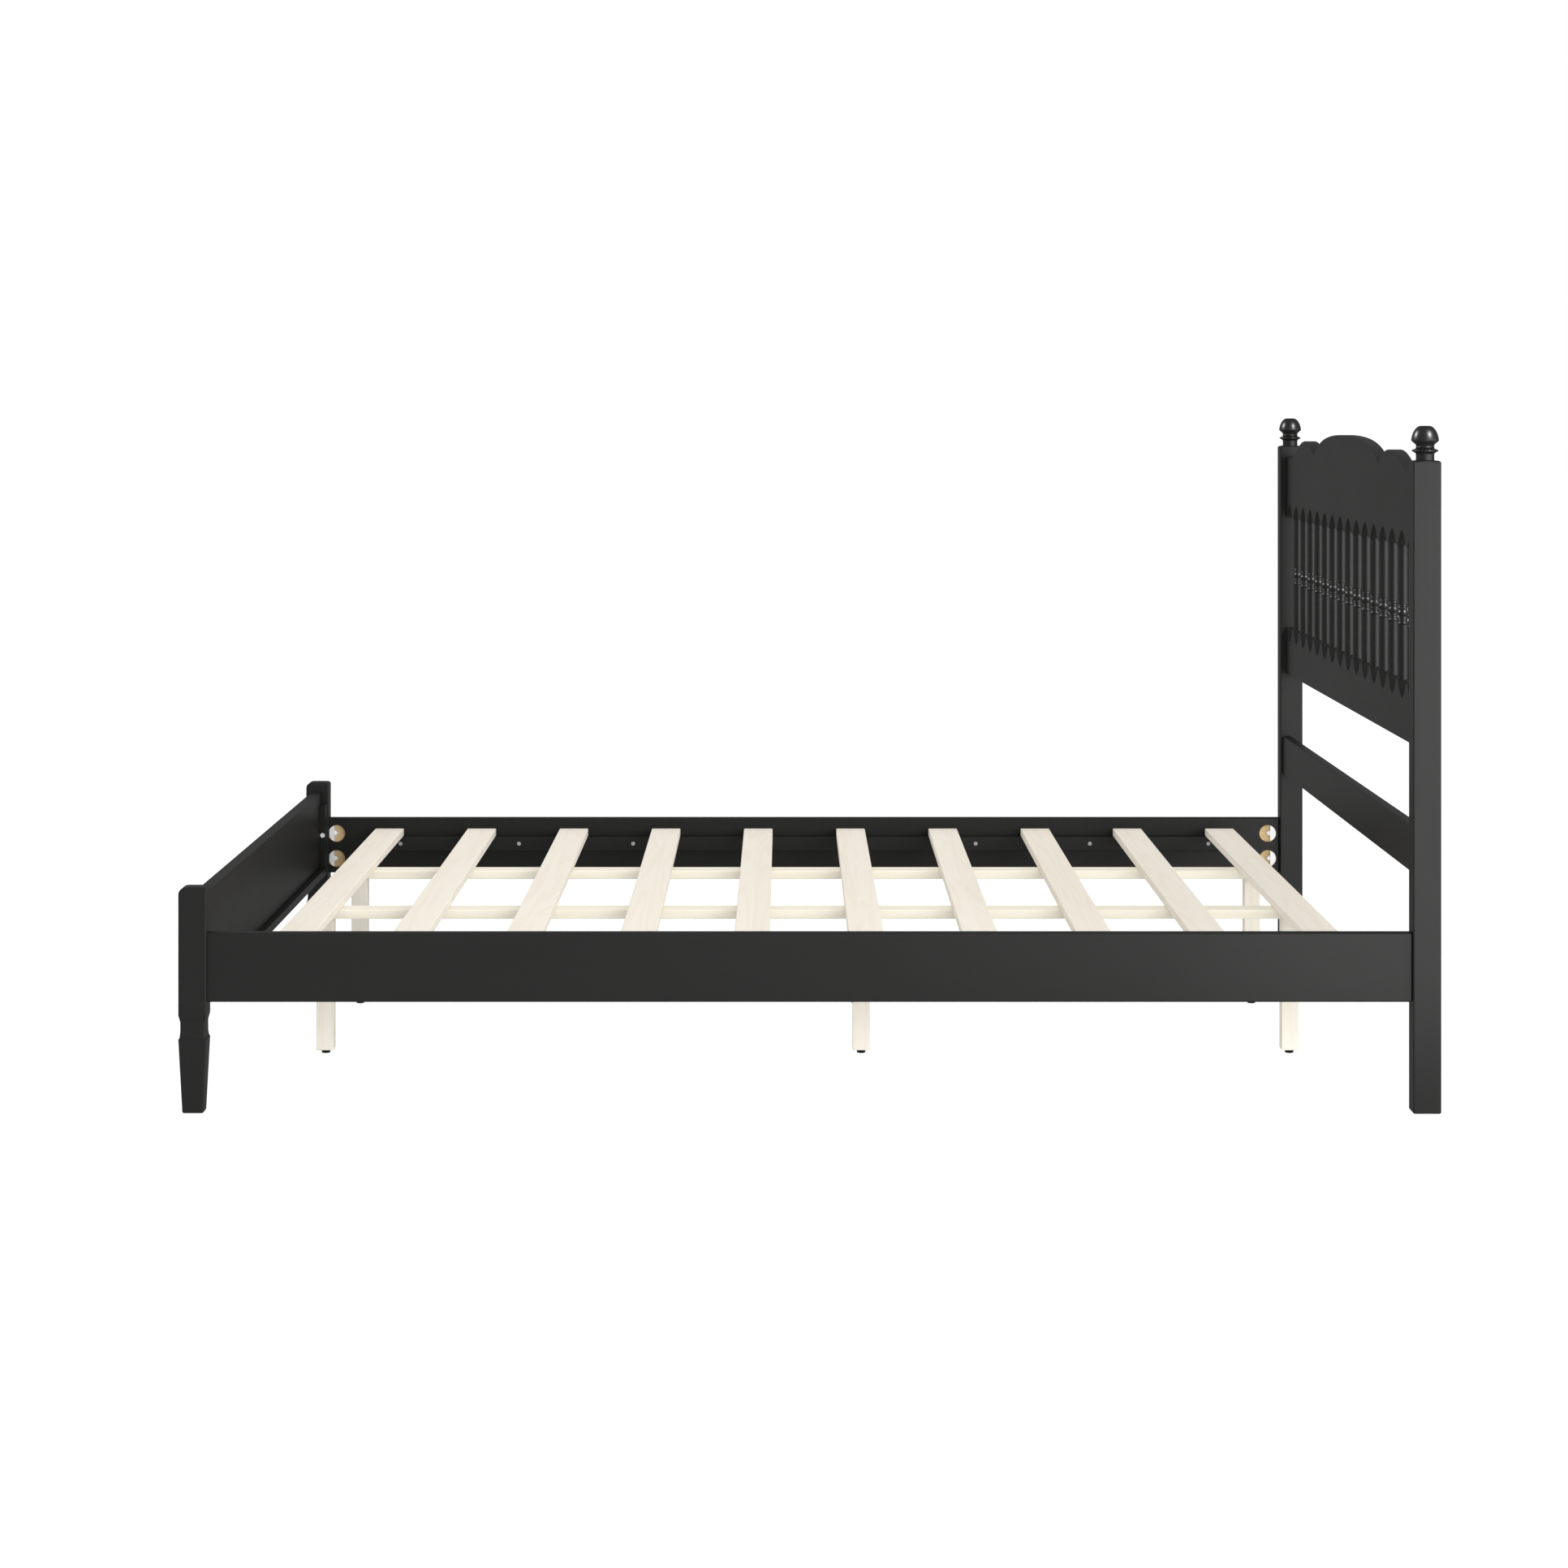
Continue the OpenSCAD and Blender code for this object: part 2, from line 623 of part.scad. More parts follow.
module side_cleat() {
    color(paint) difference() {
        translate([0, rail_in_y - cleat_t / 2, cleat_screw_z]) bar_x(cleat_len, cleat_t, cleat_h, bar_edge);
        for (i = [1 : cleat_screw_n])
            translate([cleat_screw_x(i), rail_in_y - cleat_t - 1, cleat_screw_z]) rotate([-90, 0, 0])
                screw_hole(cleat_t + 2);
    }
}

module slat(i) {
    has_screws = i == 1 || i == middle_slat || i == slat_n;
    color(pale_wood) difference() {
        translate([slat_x(i), 0, slat_z + slat_t / 2]) bar_y(slat_len, slat_w, slat_t, slat_edge);
        if (has_screws)
            for (side = [-1, 1]) translate([slat_x(i), side * beam_y, slat_z]) {
                translate([0, 0, -1]) cylinder(r = leg_screw_r + fit, h = slat_t + 2, $fn = 24);
                translate([0, 0, slat_t - leg_screw_head_r + leg_screw_r])
                    cylinder(r1 = leg_screw_r + fit, r2 = leg_screw_head_r + fit,
                        h = leg_screw_head_r - leg_screw_r + 0.01, $fn = 24);
            }
    }
}

// Support beam on the +Y side
module support_beam() {
    color(pale_wood) difference() {
        translate([0, beam_y, beam_z + beam_t / 2]) bar_x(slat_span, beam_w, beam_t, bar_edge);
        for (x = leg_x)
            translate([x, beam_y, beam_z - 1]) cylinder(r = leg_screw_r + fit, h = beam_t + 2, $fn = 24);
    }
}

function leg_place(i) = [leg_x[(i - 1) % 3], i < 4 ? -beam_y : beam_y, 0];

// Square leg with eased edges, a bevelled foot and a hole at each end
module support_leg(i) {
    color(pale_wood) translate(leg_place(i)) difference() {
        intersection() {
            translate([0, 0, glide_h]) linear_extrude(beam_z - glide_h) round_rect(leg_w, leg_w, leg_edge);
            leg_side();
            rotate([0, 0, 90]) leg_side();
        }
        translate([0, 0, glide_h - 1]) cylinder(r = stem_r + stem_play, h = stem_len + 2, $fn = 32);
        translate([0, 0, beam_z - leg_screw_deep - fit])
            cylinder(r = leg_screw_r + fit, h = leg_screw_deep + fit + 1, $fn = 24);
    }
}

// Side view of a leg with its lower corners cut off, as a wide slab
module leg_side() {
    half = leg_w / 2;
    rotate([90, 0, 0]) translate([0, 0, -half]) linear_extrude(leg_w)
        polygon([[-half, beam_z], [-half, glide_h + leg_bevel], [-half + leg_bevel, glide_h],
            [half - leg_bevel, glide_h], [half, glide_h + leg_bevel], [half, beam_z]]);
}

// Screw-in glide with a flat head on the floor
module leveling_glide(i) {
    edge = 1.2;
    color(black_plastic) translate(leg_place(i)) rotate_extrude($fn = 48)
        polygon([[0, 0], [glide_r - edge, 0], [glide_r, edge], [glide_r, glide_h],
            [stem_r, glide_h], [stem_r, glide_h + stem_len - 1], [stem_r - 1, glide_h + stem_len],
            [0, glide_h + stem_len]]);
}

// Places one corner's hardware at all eight bolts: x = 0 is the pocket's middle, -X is the post
module at_each_bolt() {
    for (side = [0, 1], z = pocket_z) mirror([0, side, 0]) {
        translate([pocket_x[0], 0, z]) children();
        translate([pocket_x[1], 0, z]) mirror([1, 0, 0]) children();
    }
}

module bed_bolts() {
    reach = pocket_end + bolt_deep;
    color(zinc) at_each_bolt() translate([-reach, bolt_y, 0]) rotate([0, 90, 0])
        cylinder(r = bolt_r, h = reach - washer_flat + nut_t + bolt_out, $fn = 24);
}

module half_moon_washers() {
    r = pocket_r - fit;
    deep = pocket_deep - 2;
    color(zinc) at_each_bolt() difference() {
        translate([0, rail_in_y + pocket_deep - deep, 0]) rotate([-90, 0, 0]) linear_extrude(deep)
            intersection() {
                circle(r);
                translate([-2 * r, -r]) square([2 * r - washer_flat, 2 * r]);
            }
        translate([-pocket_end, bolt_y, 0]) rotate([0, 90, 0])
            cylinder(r = bolt_r + fit, h = pocket_end, $fn = 24);
    }
}

module bolt_nuts() {
    color(zinc) at_each_bolt() translate([-washer_flat, bolt_y, 0]) rotate([0, 90, 0]) difference() {
        rotate([0, 0, 30]) cylinder(r = nut_w / 2 / cos(30), h = nut_t, $fn = 6);
        translate([0, 0, -1]) cylinder(r = bolt_r + fit / 2, h = nut_t + 2, $fn = 24);
    }
}

module wood_screws() {
    color(zinc) for (side = [0, 1]) mirror([0, side, 0]) {
        for (i = [1 : cleat_screw_n])
            translate([cleat_screw_x(i), rail_in_y - cleat_t, cleat_screw_z]) rotate([90, 0, 0])
                screw(cleat_t + screw_deep);
        translate([strip_x + strip_t / 2, in_y - end_strip_w, strip_screw_z]) rotate([90, 0, 0])
            screw(strip_screw_len);
    }
}

module leg_screws() {
    len = slat_t + beam_t + leg_screw_deep;
    color(zinc) for (i = [1 : 6])
        translate(leg_place(i) + [0, 0, slat_z + slat_t]) rotate([180, 0, 0]) {
            cylinder(r1 = leg_screw_head_r, r2 = leg_screw_r, h = leg_screw_head_r - leg_screw_r, $fn = 24);
            cylinder(r = leg_screw_r, h = len, $fn = 24);
        }
}

mirror([0, 1, 0]) head_post();  // headboard_post_right
head_post();  // headboard_post_left
mirror([0, 1, 0]) finial();  // finial_right
finial();  // finial_left
headboard_crest_rail();
headboard_lower_rail();
headboard_cross_rail();
for (i = [1 : spindle_n])
    spindle(i);
mirror([0, 1, 0]) foot_post();  // foot_post_right
foot_post();  // foot_post_left
footboard_panel();
footboard_ledge();
footboard_end_strips();
mirror([0, 1, 0]) side_rail();  // side_rail_right
side_rail();  // side_rail_left
mirror([0, 1, 0]) side_cleat();  // side_cleat_right
side_cleat();  // side_cleat_left
for (i = [1 : slat_n])
    slat(i);
mirror([0, 1, 0]) support_beam();  // support_beam_right
support_beam();  // support_beam_left
for (i = [1 : 6]) {
    support_leg(i);
    leveling_glide(i);
}
bed_bolts();
half_moon_washers();
bolt_nuts();
wood_screws();
leg_screws();
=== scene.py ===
# Platform bed: painted headboard, footboard and rails, pale slatted base, small hardware
import math

import bmesh
import bpy
from mathutils import Matrix, Vector
from mathutils.geometry import interpolate_bezier


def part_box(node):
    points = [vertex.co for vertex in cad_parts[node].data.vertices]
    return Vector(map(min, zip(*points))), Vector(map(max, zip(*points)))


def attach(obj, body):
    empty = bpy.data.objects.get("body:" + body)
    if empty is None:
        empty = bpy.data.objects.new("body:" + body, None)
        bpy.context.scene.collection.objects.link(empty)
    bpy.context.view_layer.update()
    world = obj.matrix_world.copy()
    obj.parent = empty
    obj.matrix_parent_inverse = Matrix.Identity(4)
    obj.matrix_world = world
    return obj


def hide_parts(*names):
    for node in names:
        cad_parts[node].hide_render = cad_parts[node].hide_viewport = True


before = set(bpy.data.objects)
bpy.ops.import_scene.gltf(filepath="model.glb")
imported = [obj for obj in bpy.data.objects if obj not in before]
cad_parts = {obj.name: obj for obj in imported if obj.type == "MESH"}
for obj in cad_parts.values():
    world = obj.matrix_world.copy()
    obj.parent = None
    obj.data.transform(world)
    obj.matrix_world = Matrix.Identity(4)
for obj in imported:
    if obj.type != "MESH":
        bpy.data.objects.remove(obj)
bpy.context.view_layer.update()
print("frame loaded,", len(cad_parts), "nodes")

mm = 0.001  # pieces are modelled in millimetres and shrunk to metres at the end
sides = {"right": -1, "left": 1}  # right is the -Y side of the bed


# Camera, solved from the photograph: level, looking along +Y

camera = {"lens": 80, "sensor": 36, "place": (-0.0432, -6.726, 1.2276), "shiftX": -0.0002,
          "shiftY": -0.2509}


def addCamera():
    lens = bpy.data.cameras.new("photo camera")
    lens.lens = camera["lens"]
    lens.sensor_width = camera["sensor"]
    lens.shift_x = camera["shiftX"]
    lens.shift_y = camera["shiftY"]
    view = bpy.data.objects.new("photo camera", lens)
    view.location = camera["place"]
    view.rotation_euler = (math.radians(90), 0, 0)
    bpy.context.collection.objects.link(view)
    bpy.context.scene.camera = view


addCamera()
print("camera set")


# Materials

class Wire:  # a shader socket that can be used in plain sums
    def __init__(self, surface, socket):
        self.surface = surface
        self.socket = socket

    def __add__(self, other):
        return self.surface.sum("ADD", self, other)

    def __radd__(self, other):
        return self.surface.sum("ADD", other, self)

    def __sub__(self, other):
        return self.surface.sum("SUBTRACT", self, other)

    def __rsub__(self, other):
        return self.surface.sum("SUBTRACT", other, self)

    def __mul__(self, other):
        return self.surface.sum("MULTIPLY", self, other)

    def __rmul__(self, other):
        return self.surface.sum("MULTIPLY", other, self)

    def __truediv__(self, other):
        return self.surface.sum("DIVIDE", self, other)

    def __rtruediv__(self, other):
        return self.surface.sum("DIVIDE", other, self)


class Surface:  # the nodes of a material, or of the world
    def __init__(self, owner):
        self.owner = owner
        owner.use_nodes = True
        self.tree = owner.node_tree
        self.tree.nodes.clear()

    def node(self, kind, settings=None, inputs=None, out=0):
        made = self.tree.nodes.new("ShaderNode" + kind)
        for key, value in (settings or {}).items():
            setattr(made, key, value)
        for key, value in (inputs or {}).items():
            if isinstance(value, Wire):
                self.tree.links.new(value.socket, made.inputs[key])
            else:
                made.inputs[key].default_value = value
        return Wire(self, made.outputs[out]) if made.outputs else made

    def sum(self, operation, a, b):
        return self.node("Math", {"operation": operation}, {0: a, 1: b})

    def clamp(self, value):
        return self.node("Clamp", {}, {"Value": value})

    def step(self, value, low, high):  # 0 below low, 1 above high, smooth between
        return self.node("MapRange", {"interpolation_type": "SMOOTHSTEP"},
                         {"Value": value, "From Min": low, "From Max": high})

    def blend(self, factor, a, b):  # colours
        return self.node("Mix", {"data_type": "RGBA"}, {0: factor, 6: a, 7: b}, out=2)

    def place(self):
        return self.node("TexCoord", out="Object")

    def axis(self, place, name):
        return self.node("SeparateXYZ", {}, {0: place}, out=name)

    def noise(self, place, pattern, axis="X"):  # a pattern may be drawn out along one axis
        stretch = tuple(pattern.get("along" if name == axis else "across", 1) for name in "XYZ")
        vector = self.node("Mapping", {}, {"Vector": place, "Scale": stretch})
        return self.node("TexNoise", {}, {"Vector": vector, "Scale": pattern["scale"],
                                          "Detail": pattern["detail"],
                                          "Roughness": pattern.get("roughness", 0.5)})

    def bump(self, height, look):
        return self.node("Bump", {}, {"Strength": look["bump"], "Distance": look["bumpDepth"],
                                      "Height": height})

    def finish(self, **sockets):
        shader = self.node("BsdfPrincipled", {}, {key.replace("_", " "): v for key, v in sockets.items()})
        self.node("OutputMaterial", {}, {"Surface": shader})
        return self.owner


paint = {"colour": (0.0116, 0.0116, 0.0113, 1), "worn": (0.0144, 0.0144, 0.014, 1),
         "coat": 0.17, "coatChange": 0.02, "coatRough": 0.42, "rough": 0.55, "roughChange": 0.12,
         "specular": 0.0, "bump": 0.35, "bumpDepth": 0.00006,
         "grain": {"along": 0.03, "scale": 340, "detail": 4, "roughness": 0.55},
         "cloud": {"along": 0.4, "scale": 9, "detail": 3},
         "peel": {"scale": 620, "detail": 2}}


def blackPaint(axis):  # satin paint over smooth wood whose grain runs along the axis
    skin = Surface(bpy.data.materials.new("black paint " + axis))
    place = skin.place()
    grain = skin.noise(place, paint["grain"], axis)
    cloud = skin.noise(place, paint["cloud"], axis)
    peel = skin.noise(place, paint["peel"])
    change = paint["coatChange"]
    return skin.finish(
        Base_Color=skin.blend(skin.clamp(cloud * 0.7 + grain * 0.3), paint["colour"], paint["worn"]),
        Roughness=paint["rough"] + (grain - 0.5) * paint["roughChange"],
        Specular_IOR_Level=paint["specular"],
        Coat_Weight=skin.clamp(paint["coat"] + (cloud - 0.5) * change + (grain - 0.5) * change),
        Coat_Roughness=paint["coatRough"],
        Normal=skin.bump(grain * 0.6 + peel * 0.4, paint))


turnedPaint = {"colour": (0.0105, 0.0105, 0.0103, 1), "worn": (0.0135, 0.0135, 0.0132, 1),
               "coat": 0.14, "coatChange": 0.02, "coatRough": 0.33, "rough": 0.5, "roughChange": 0.1,
               "specular": 0.0, "bump": 0.2, "bumpDepth": 0.00004,
               "cloud": {"scale": 30, "detail": 3},
               "lathe": {"across": 0.08, "scale": 900, "detail": 2}}


def glossPaint():  # the coat of the turned pieces shines more sharply
    skin = Surface(bpy.data.materials.new("black gloss paint"))
    place = skin.place()
    cloud = skin.noise(place, turnedPaint["cloud"])
    lathe = skin.noise(place, turnedPaint["lathe"], "Z")
    return skin.finish(
        Base_Color=skin.blend(cloud, turnedPaint["colour"], turnedPaint["worn"]),
        Roughness=turnedPaint["rough"] + (lathe - 0.5) * turnedPaint["roughChange"],
        Specular_IOR_Level=turnedPaint["specular"],
        Coat_Weight=skin.clamp(turnedPaint["coat"] + (cloud - 0.5) * turnedPaint["coatChange"]),
        Coat_Roughness=turnedPaint["coatRough"],
        Normal=skin.bump(lathe, turnedPaint))


pale = {"light": {"X": (0.86, 0.825, 0.71, 1), "Y": (0.87, 0.82, 0.73, 1), "Z": (0.85, 0.825, 0.75, 1)},
        "dark": (0.78, 0.70, 0.56, 1), "vein": (0.68, 0.57, 0.42, 1), "veinShare": 0.16,
        "boardPitch": 0.1985, "ringCount": 58, "rough": 0.62, "roughChange": 0.16,
        "specular": 0.12, "bump": 0.4, "bumpDepth": 0.00012,
        "fibre": {"along": 0.02, "scale": 460, "detail": 5, "roughness": 0.6},
        "band": {"along": 0.045, "scale": 16, "detail": 3, "roughness": 0.45},
        "cloud": {"along": 0.3, "scale": 7, "detail": 2}}


def paleWood(axis):  # planed softwood, bare, with fine straight grain; each board has its own tone
    wood = Surface(bpy.data.materials.new("pale wood " + axis))
    place = wood.place()
    other = "X" if axis == "Y" else "Y"
    number = wood.node("Math", {"operation": "FLOOR"},
                       {0: wood.axis(place, other) / pale["boardPitch"] + 0.5})
    tone = wood.node("TexWhiteNoise", {"noise_dimensions": "1D"}, {"W": number})
    fibre = wood.noise(place, pale["fibre"], axis)
    band = wood.noise(place, pale["band"], axis)
    rings = wood.node("Math", {"operation": "SINE"}, {0: band * pale["ringCount"] + tone * 6})
    line = wood.step(rings, 0.1, 1.0)
    cloud = wood.noise(place, pale["cloud"], axis)
    shade = wood.clamp(line * 0.2 + fibre * 0.3 + cloud * 0.25 + tone * 0.2 - 0.12)
    colour = wood.blend(shade, pale["light"][axis], pale["dark"])
    vein = wood.step(fibre, 0.6, 0.78) * pale["veinShare"]
    return wood.finish(
        Base_Color=wood.blend(vein, colour, pale["vein"]),
        Roughness=pale["rough"] + (fibre - 0.5) * pale["roughChange"],
        Specular_IOR_Level=pale["specular"],
        Normal=wood.bump(fibre * 0.8 + line * 0.2, pale))


rawWood = {"light": (0.80, 0.65, 0.40, 1), "dark": (0.44, 0.30, 0.14, 1), "edge": (0.016, 0.016, 0.0155, 1),
           "paintedTo": 0.0006, "bareFrom": 0.0012, "ragged": 0.0008, "rough": 0.75,
           "specular": 0.2, "bump": 0.5, "bumpDepth": 0.0002,
           "grain": {"along": 0.1, "scale": 500, "detail": 4, "roughness": 0.6},
           "band": {"along": 0.12, "scale": 90, "detail": 2}}


def pocketWood(innerFace):  # bare drilled wood, with paint just over the rim of the pocket
    wood = Surface(bpy.data.materials.new("pocket wood"))
    place = wood.place()
    grain = wood.noise(place, rawWood["grain"])
    band = wood.noise(place, rawWood["band"])
    colour = wood.blend(wood.clamp(grain * 0.7 + band * 0.6 - 0.25), rawWood["light"], rawWood["dark"])
    depth = wood.node("Math", {"operation": "ABSOLUTE"}, {0: wood.axis(place, "Y")}) - innerFace * mm
    bare = wood.step(depth + (grain - 0.5) * rawWood["ragged"], rawWood["paintedTo"], rawWood["bareFrom"])
    return wood.finish(
        Base_Color=wood.blend(bare, rawWood["edge"], colour),
        Roughness=rawWood["rough"],
        Specular_IOR_Level=rawWood["specular"],
        Normal=wood.bump(grain, rawWood))


zinc = {"dim": (0.88, 0.89, 0.90, 1), "bright": (0.95, 0.96, 0.97, 1), "metallic": 0.2,
        "metallicChange": 0.15, "rough": 0.26, "roughChange": 0.14, "bump": 0.15, "bumpDepth": 0.00003,
        "mottle": {"scale": 700, "detail": 4}}
# a darker copy of the zinc: painted shade for the cleat screws under the slats
shadedZinc = {"dim": (0.34, 0.34, 0.35, 1), "bright": (0.46, 0.46, 0.47, 1), "metallic": 0.6,
        "metallicChange": 0.2, "rough": 0.35, "roughChange": 0.15, "mottle": {"scale": 900, "detail": 3}}
plastic = {"dim": (0.003, 0.003, 0.003, 1), "bright": (0.006, 0.006, 0.006, 1), "rough": 0.45,
           "roughChange": 0.2, "specular": 0.1, "bump": 0.3, "bumpDepth": 0.00005,
           "pebble": {"scale": 1500, "detail": 3}}


def zincSteel():
    metal = Surface(bpy.data.materials.new("zinc steel"))
    mottle = metal.noise(metal.place(), zinc["mottle"])
    return metal.finish(
        Base_Color=metal.blend(mottle, zinc["dim"], zinc["bright"]),
        Metallic=zinc["metallic"] + mottle * zinc["metallicChange"],
        Roughness=zinc["rough"] + mottle * zinc["roughChange"],
        Normal=metal.bump(mottle, zinc))


def shadedZincSteel():  # the small screws along the cleats: the zinc made darker, as painted shade for the slats' shadow over them
    metal = Surface(bpy.data.materials.new("dull steel"))
    mottle = metal.noise(metal.place(), shadedZinc["mottle"])
    return metal.finish(
        Base_Color=metal.blend(mottle, shadedZinc["dim"], shadedZinc["bright"]),
        Metallic=shadedZinc["metallic"] + mottle * shadedZinc["metallicChange"],
        Roughness=shadedZinc["rough"] + mottle * shadedZinc["roughChange"])


def blackPlastic():
    skin = Surface(bpy.data.materials.new("black plastic"))
    pebble = skin.noise(skin.place(), plastic["pebble"])
    return skin.finish(
        Base_Color=skin.blend(pebble, plastic["dim"], plastic["bright"]),
        Roughness=plastic["rough"] + (pebble - 0.5) * plastic["roughChange"],
        Specular_IOR_Level=plastic["specular"],
        Normal=skin.bump(pebble, plastic))


finishes = {
    "paintX": blackPaint("X"), "paintY": blackPaint("Y"), "paintZ": blackPaint("Z"),
    "gloss": glossPaint(), "paleX": paleWood("X"), "paleY": paleWood("Y"), "paleZ": paleWood("Z"),
    "zinc": zincSteel(), "plastic": blackPlastic(),
}
slots = {"paint": "black_painted_wood", "gloss": "black_painted_wood", "pale": "pale_wood",
         "zinc": "zinc_steel", "plastic": "black_plastic"}
painted = bpy.data.collections.new("painted pieces")  # these mirror the lamps that shine on paint
glossy = bpy.data.collections.new("turned pieces")  # and these the lamps for turned pieces
print("materials made")


# Shared making steps

making = {"crease": 40, "merge": 0.0005, "level": 0.001, "past": 1}  # past: a cutter beyond its surface


def corners(node):  # lowest and highest corner of a node, in millimetres
    low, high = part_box(node)
    return low / mm, high / mm


def placePiece(shape, name, nodes, finish, body="frame", inside=None):
    bmesh.ops.recalc_face_normals(shape, faces=shape.faces)
    bmesh.ops.scale(shape, vec=(mm, mm, mm), verts=shape.verts)
    mesh = bpy.data.meshes.new(name)
    shape.to_mesh(mesh)
    shape.free()
    mesh.shade_smooth()
    mesh.set_sharp_from_angle(angle=math.radians(making["crease"]))
    mesh.materials.append(finishes[finish])
    if inside:
        mesh.materials.append(inside)
    piece = bpy.data.objects.new(name, mesh)
    bpy.context.collection.objects.link(piece)
    even = piece.modifiers.new("even shading", "WEIGHTED_NORMAL")
    even.keep_sharp = True
    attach(piece, body)
    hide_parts(*nodes)
    slot = slots[finish.rstrip("XYZ")]
    if slot == "black_painted_wood":
        painted.objects.link(piece)
    if finish == "gloss":
        glossy.objects.link(piece)


def ease(shape, edges, width, segments=2, clamp=False):  # rounds edges
    bmesh.ops.bevel(shape, geom=edges, offset=width, offset_type="OFFSET", segments=segments, profile=0.5,
                    affect="EDGES", material=-1, clamp_overlap=clamp)
    return shape


def easedBox(low, high, edge, segments=3):  # a board or bar with rounded edges
    shape = bmesh.new()
    bmesh.ops.create_cube(shape, size=1)
    bmesh.ops.scale(shape, vec=high - low, verts=shape.verts)
    bmesh.ops.translate(shape, vec=(low + high) / 2, verts=shape.verts)
    return ease(shape, shape.edges[:], edge, segments)


def turn(profile, steps):  # radius and height pairs, spun about the Z axis
    shape = bmesh.new()
    points = [shape.verts.new((radius, 0, height)) for radius, height in profile]
    lines = [shape.edges.new(pair) for pair in zip(points, points[1:])]
    bmesh.ops.spin(shape, geom=points + lines, cent=(0, 0, 0), axis=(0, 0, 1), dvec=(0, 0, 0),
                   angle=math.tau, steps=steps, use_merge=True, use_duplicate=False)
    bmesh.ops.remove_doubles(shape, verts=shape.verts, dist=making["merge"])
    return shape


def sweep(cx, cy, rx, ry, start, end, steps):  # points on an elliptical arc, angles in degrees
    angles = [math.radians(start + (end - start) * i / steps) for i in range(steps + 1)]
    return [(cx + rx * math.cos(a), cy + ry * math.sin(a)) for a in angles]


def curve(*points, steps):  # points along a cubic curve: start, two handles, end
    run = interpolate_bezier(*[Vector(point).to_3d() for point in points], steps + 1)
    return [(point.x, point.y) for point in run]


def move(shape, matrix):
    bmesh.ops.transform(shape, matrix=matrix, verts=shape.verts)
    return shape


def asMesh(shape):
    mesh = bpy.data.meshes.new("shape")
    shape.to_mesh(mesh)
    shape.free()
    return mesh


def addShape(shape, other):  # puts another shape's faces into this one
    mesh = asMesh(other)
    shape.from_mesh(mesh)
    bpy.data.meshes.remove(mesh)
    return shape


def copies(shape, places):  # one shape at several places, as one group
    mesh = asMesh(shape)
    group = bmesh.new()
    for place in places:
        start = len(group.verts)
        group.from_mesh(mesh)
        bmesh.ops.transform(group, matrix=place, verts=group.verts[start:])
    bpy.data.meshes.remove(mesh)
    return group


def cutAway(shape, bits, rim=0.0):  # cuts the bits' space out; its walls keep the bits' material number
    made = []
    for part in (shape, bits):
        bmesh.ops.recalc_face_normals(part, faces=part.faces)
        mesh = asMesh(part)
        mesh.materials.append(None)
        mesh.materials.append(None)
        made.append(bpy.data.objects.new("shape", mesh))
        bpy.context.collection.objects.link(made[-1])
    saw = made[0].modifiers.new("saw", "BOOLEAN")
    saw.operation = "DIFFERENCE"
    saw.solver = "EXACT"
    saw.object = made[1]
    result = bmesh.new()
    result.from_object(made[0], bpy.context.evaluated_depsgraph_get())
    for part in made:
        bpy.data.meshes.remove(part.data)
    if rim:
        ease(result, [e for e in result.edges if len({f.material_index for f in e.link_faces}) == 2], rim)
    return result


def second(shape):  # marks faces for the second material
    for face in shape.faces:
        face.material_index = 1
    return shape


def towards(direction, spot):  # turns local +Z to a direction and moves it to a spot
    return Matrix.Translation(spot) @ Vector(direction).to_track_quat("Z", "X").to_matrix().to_4x4()


def cylinder(low, high, radius, segments):  # along Z
    shape = bmesh.new()
    bmesh.ops.create_cone(shape, cap_ends=True, segments=segments, radius1=radius, radius2=radius,
                          depth=high - low, matrix=Matrix.Translation((0, 0, (low + high) / 2)))
    return shape


# Posts: a square face raised level by level, then the long edges are rounded

post = {"edge": 2.5, "edgeSegments": 4, "floorBevel": 1.5, "domeHeight": 4.5, "domeIn": 11, "domeSteps": 6,
        "sideRise": 2.9, "sideCuts": 9}
footPost = {"taperHeight": 126, "taperIn": 5.8, "coveIn": 2.9, "coveHeight": 43, "coveLow": 0.36,
            "coveTop": 0.62, "roundOut": 12, "round": 6, "steps": 8}


def isLevel(edge):
    return abs(edge.verts[0].co.z - edge.verts[1].co.z) < making["level"]


def raisePost(low, high, levels):  # a level is height and the inset of the outer, inner and side faces
    middle = (low + high) / 2
    outward = 1 if middle.x > 0 else -1
    half = (high - low) / 2
    shape = bmesh.new()
    bmesh.ops.create_grid(shape, x_segments=1, y_segments=1, size=1)
    face = shape.faces[:][0]
    for count, (height, outer, inner, side) in enumerate(levels):
        if count:
            grown = bmesh.ops.extrude_face_region(shape, geom=[face])["geom"]
            if count > 1:
                bmesh.ops.delete(shape, geom=[face], context="FACES_ONLY")
            face = [part for part in grown if isinstance(part, bmesh.types.BMFace)][0]
        centre = face.calc_center_median()
        for vert in face.verts:
            onOuter = (vert.co.x - centre.x) * outward > 0
            reach = half.x - outer if onOuter else inner - half.x
            across = half.y - side if vert.co.y > centre.y else side - half.y
            vert.co = (outward * reach, across, height)
    ease(shape, [e for e in shape.edges if not isLevel(e)], post["edge"], post["edgeSegments"])
    return move(shape, Matrix.Translation((middle.x, middle.y, 0)))


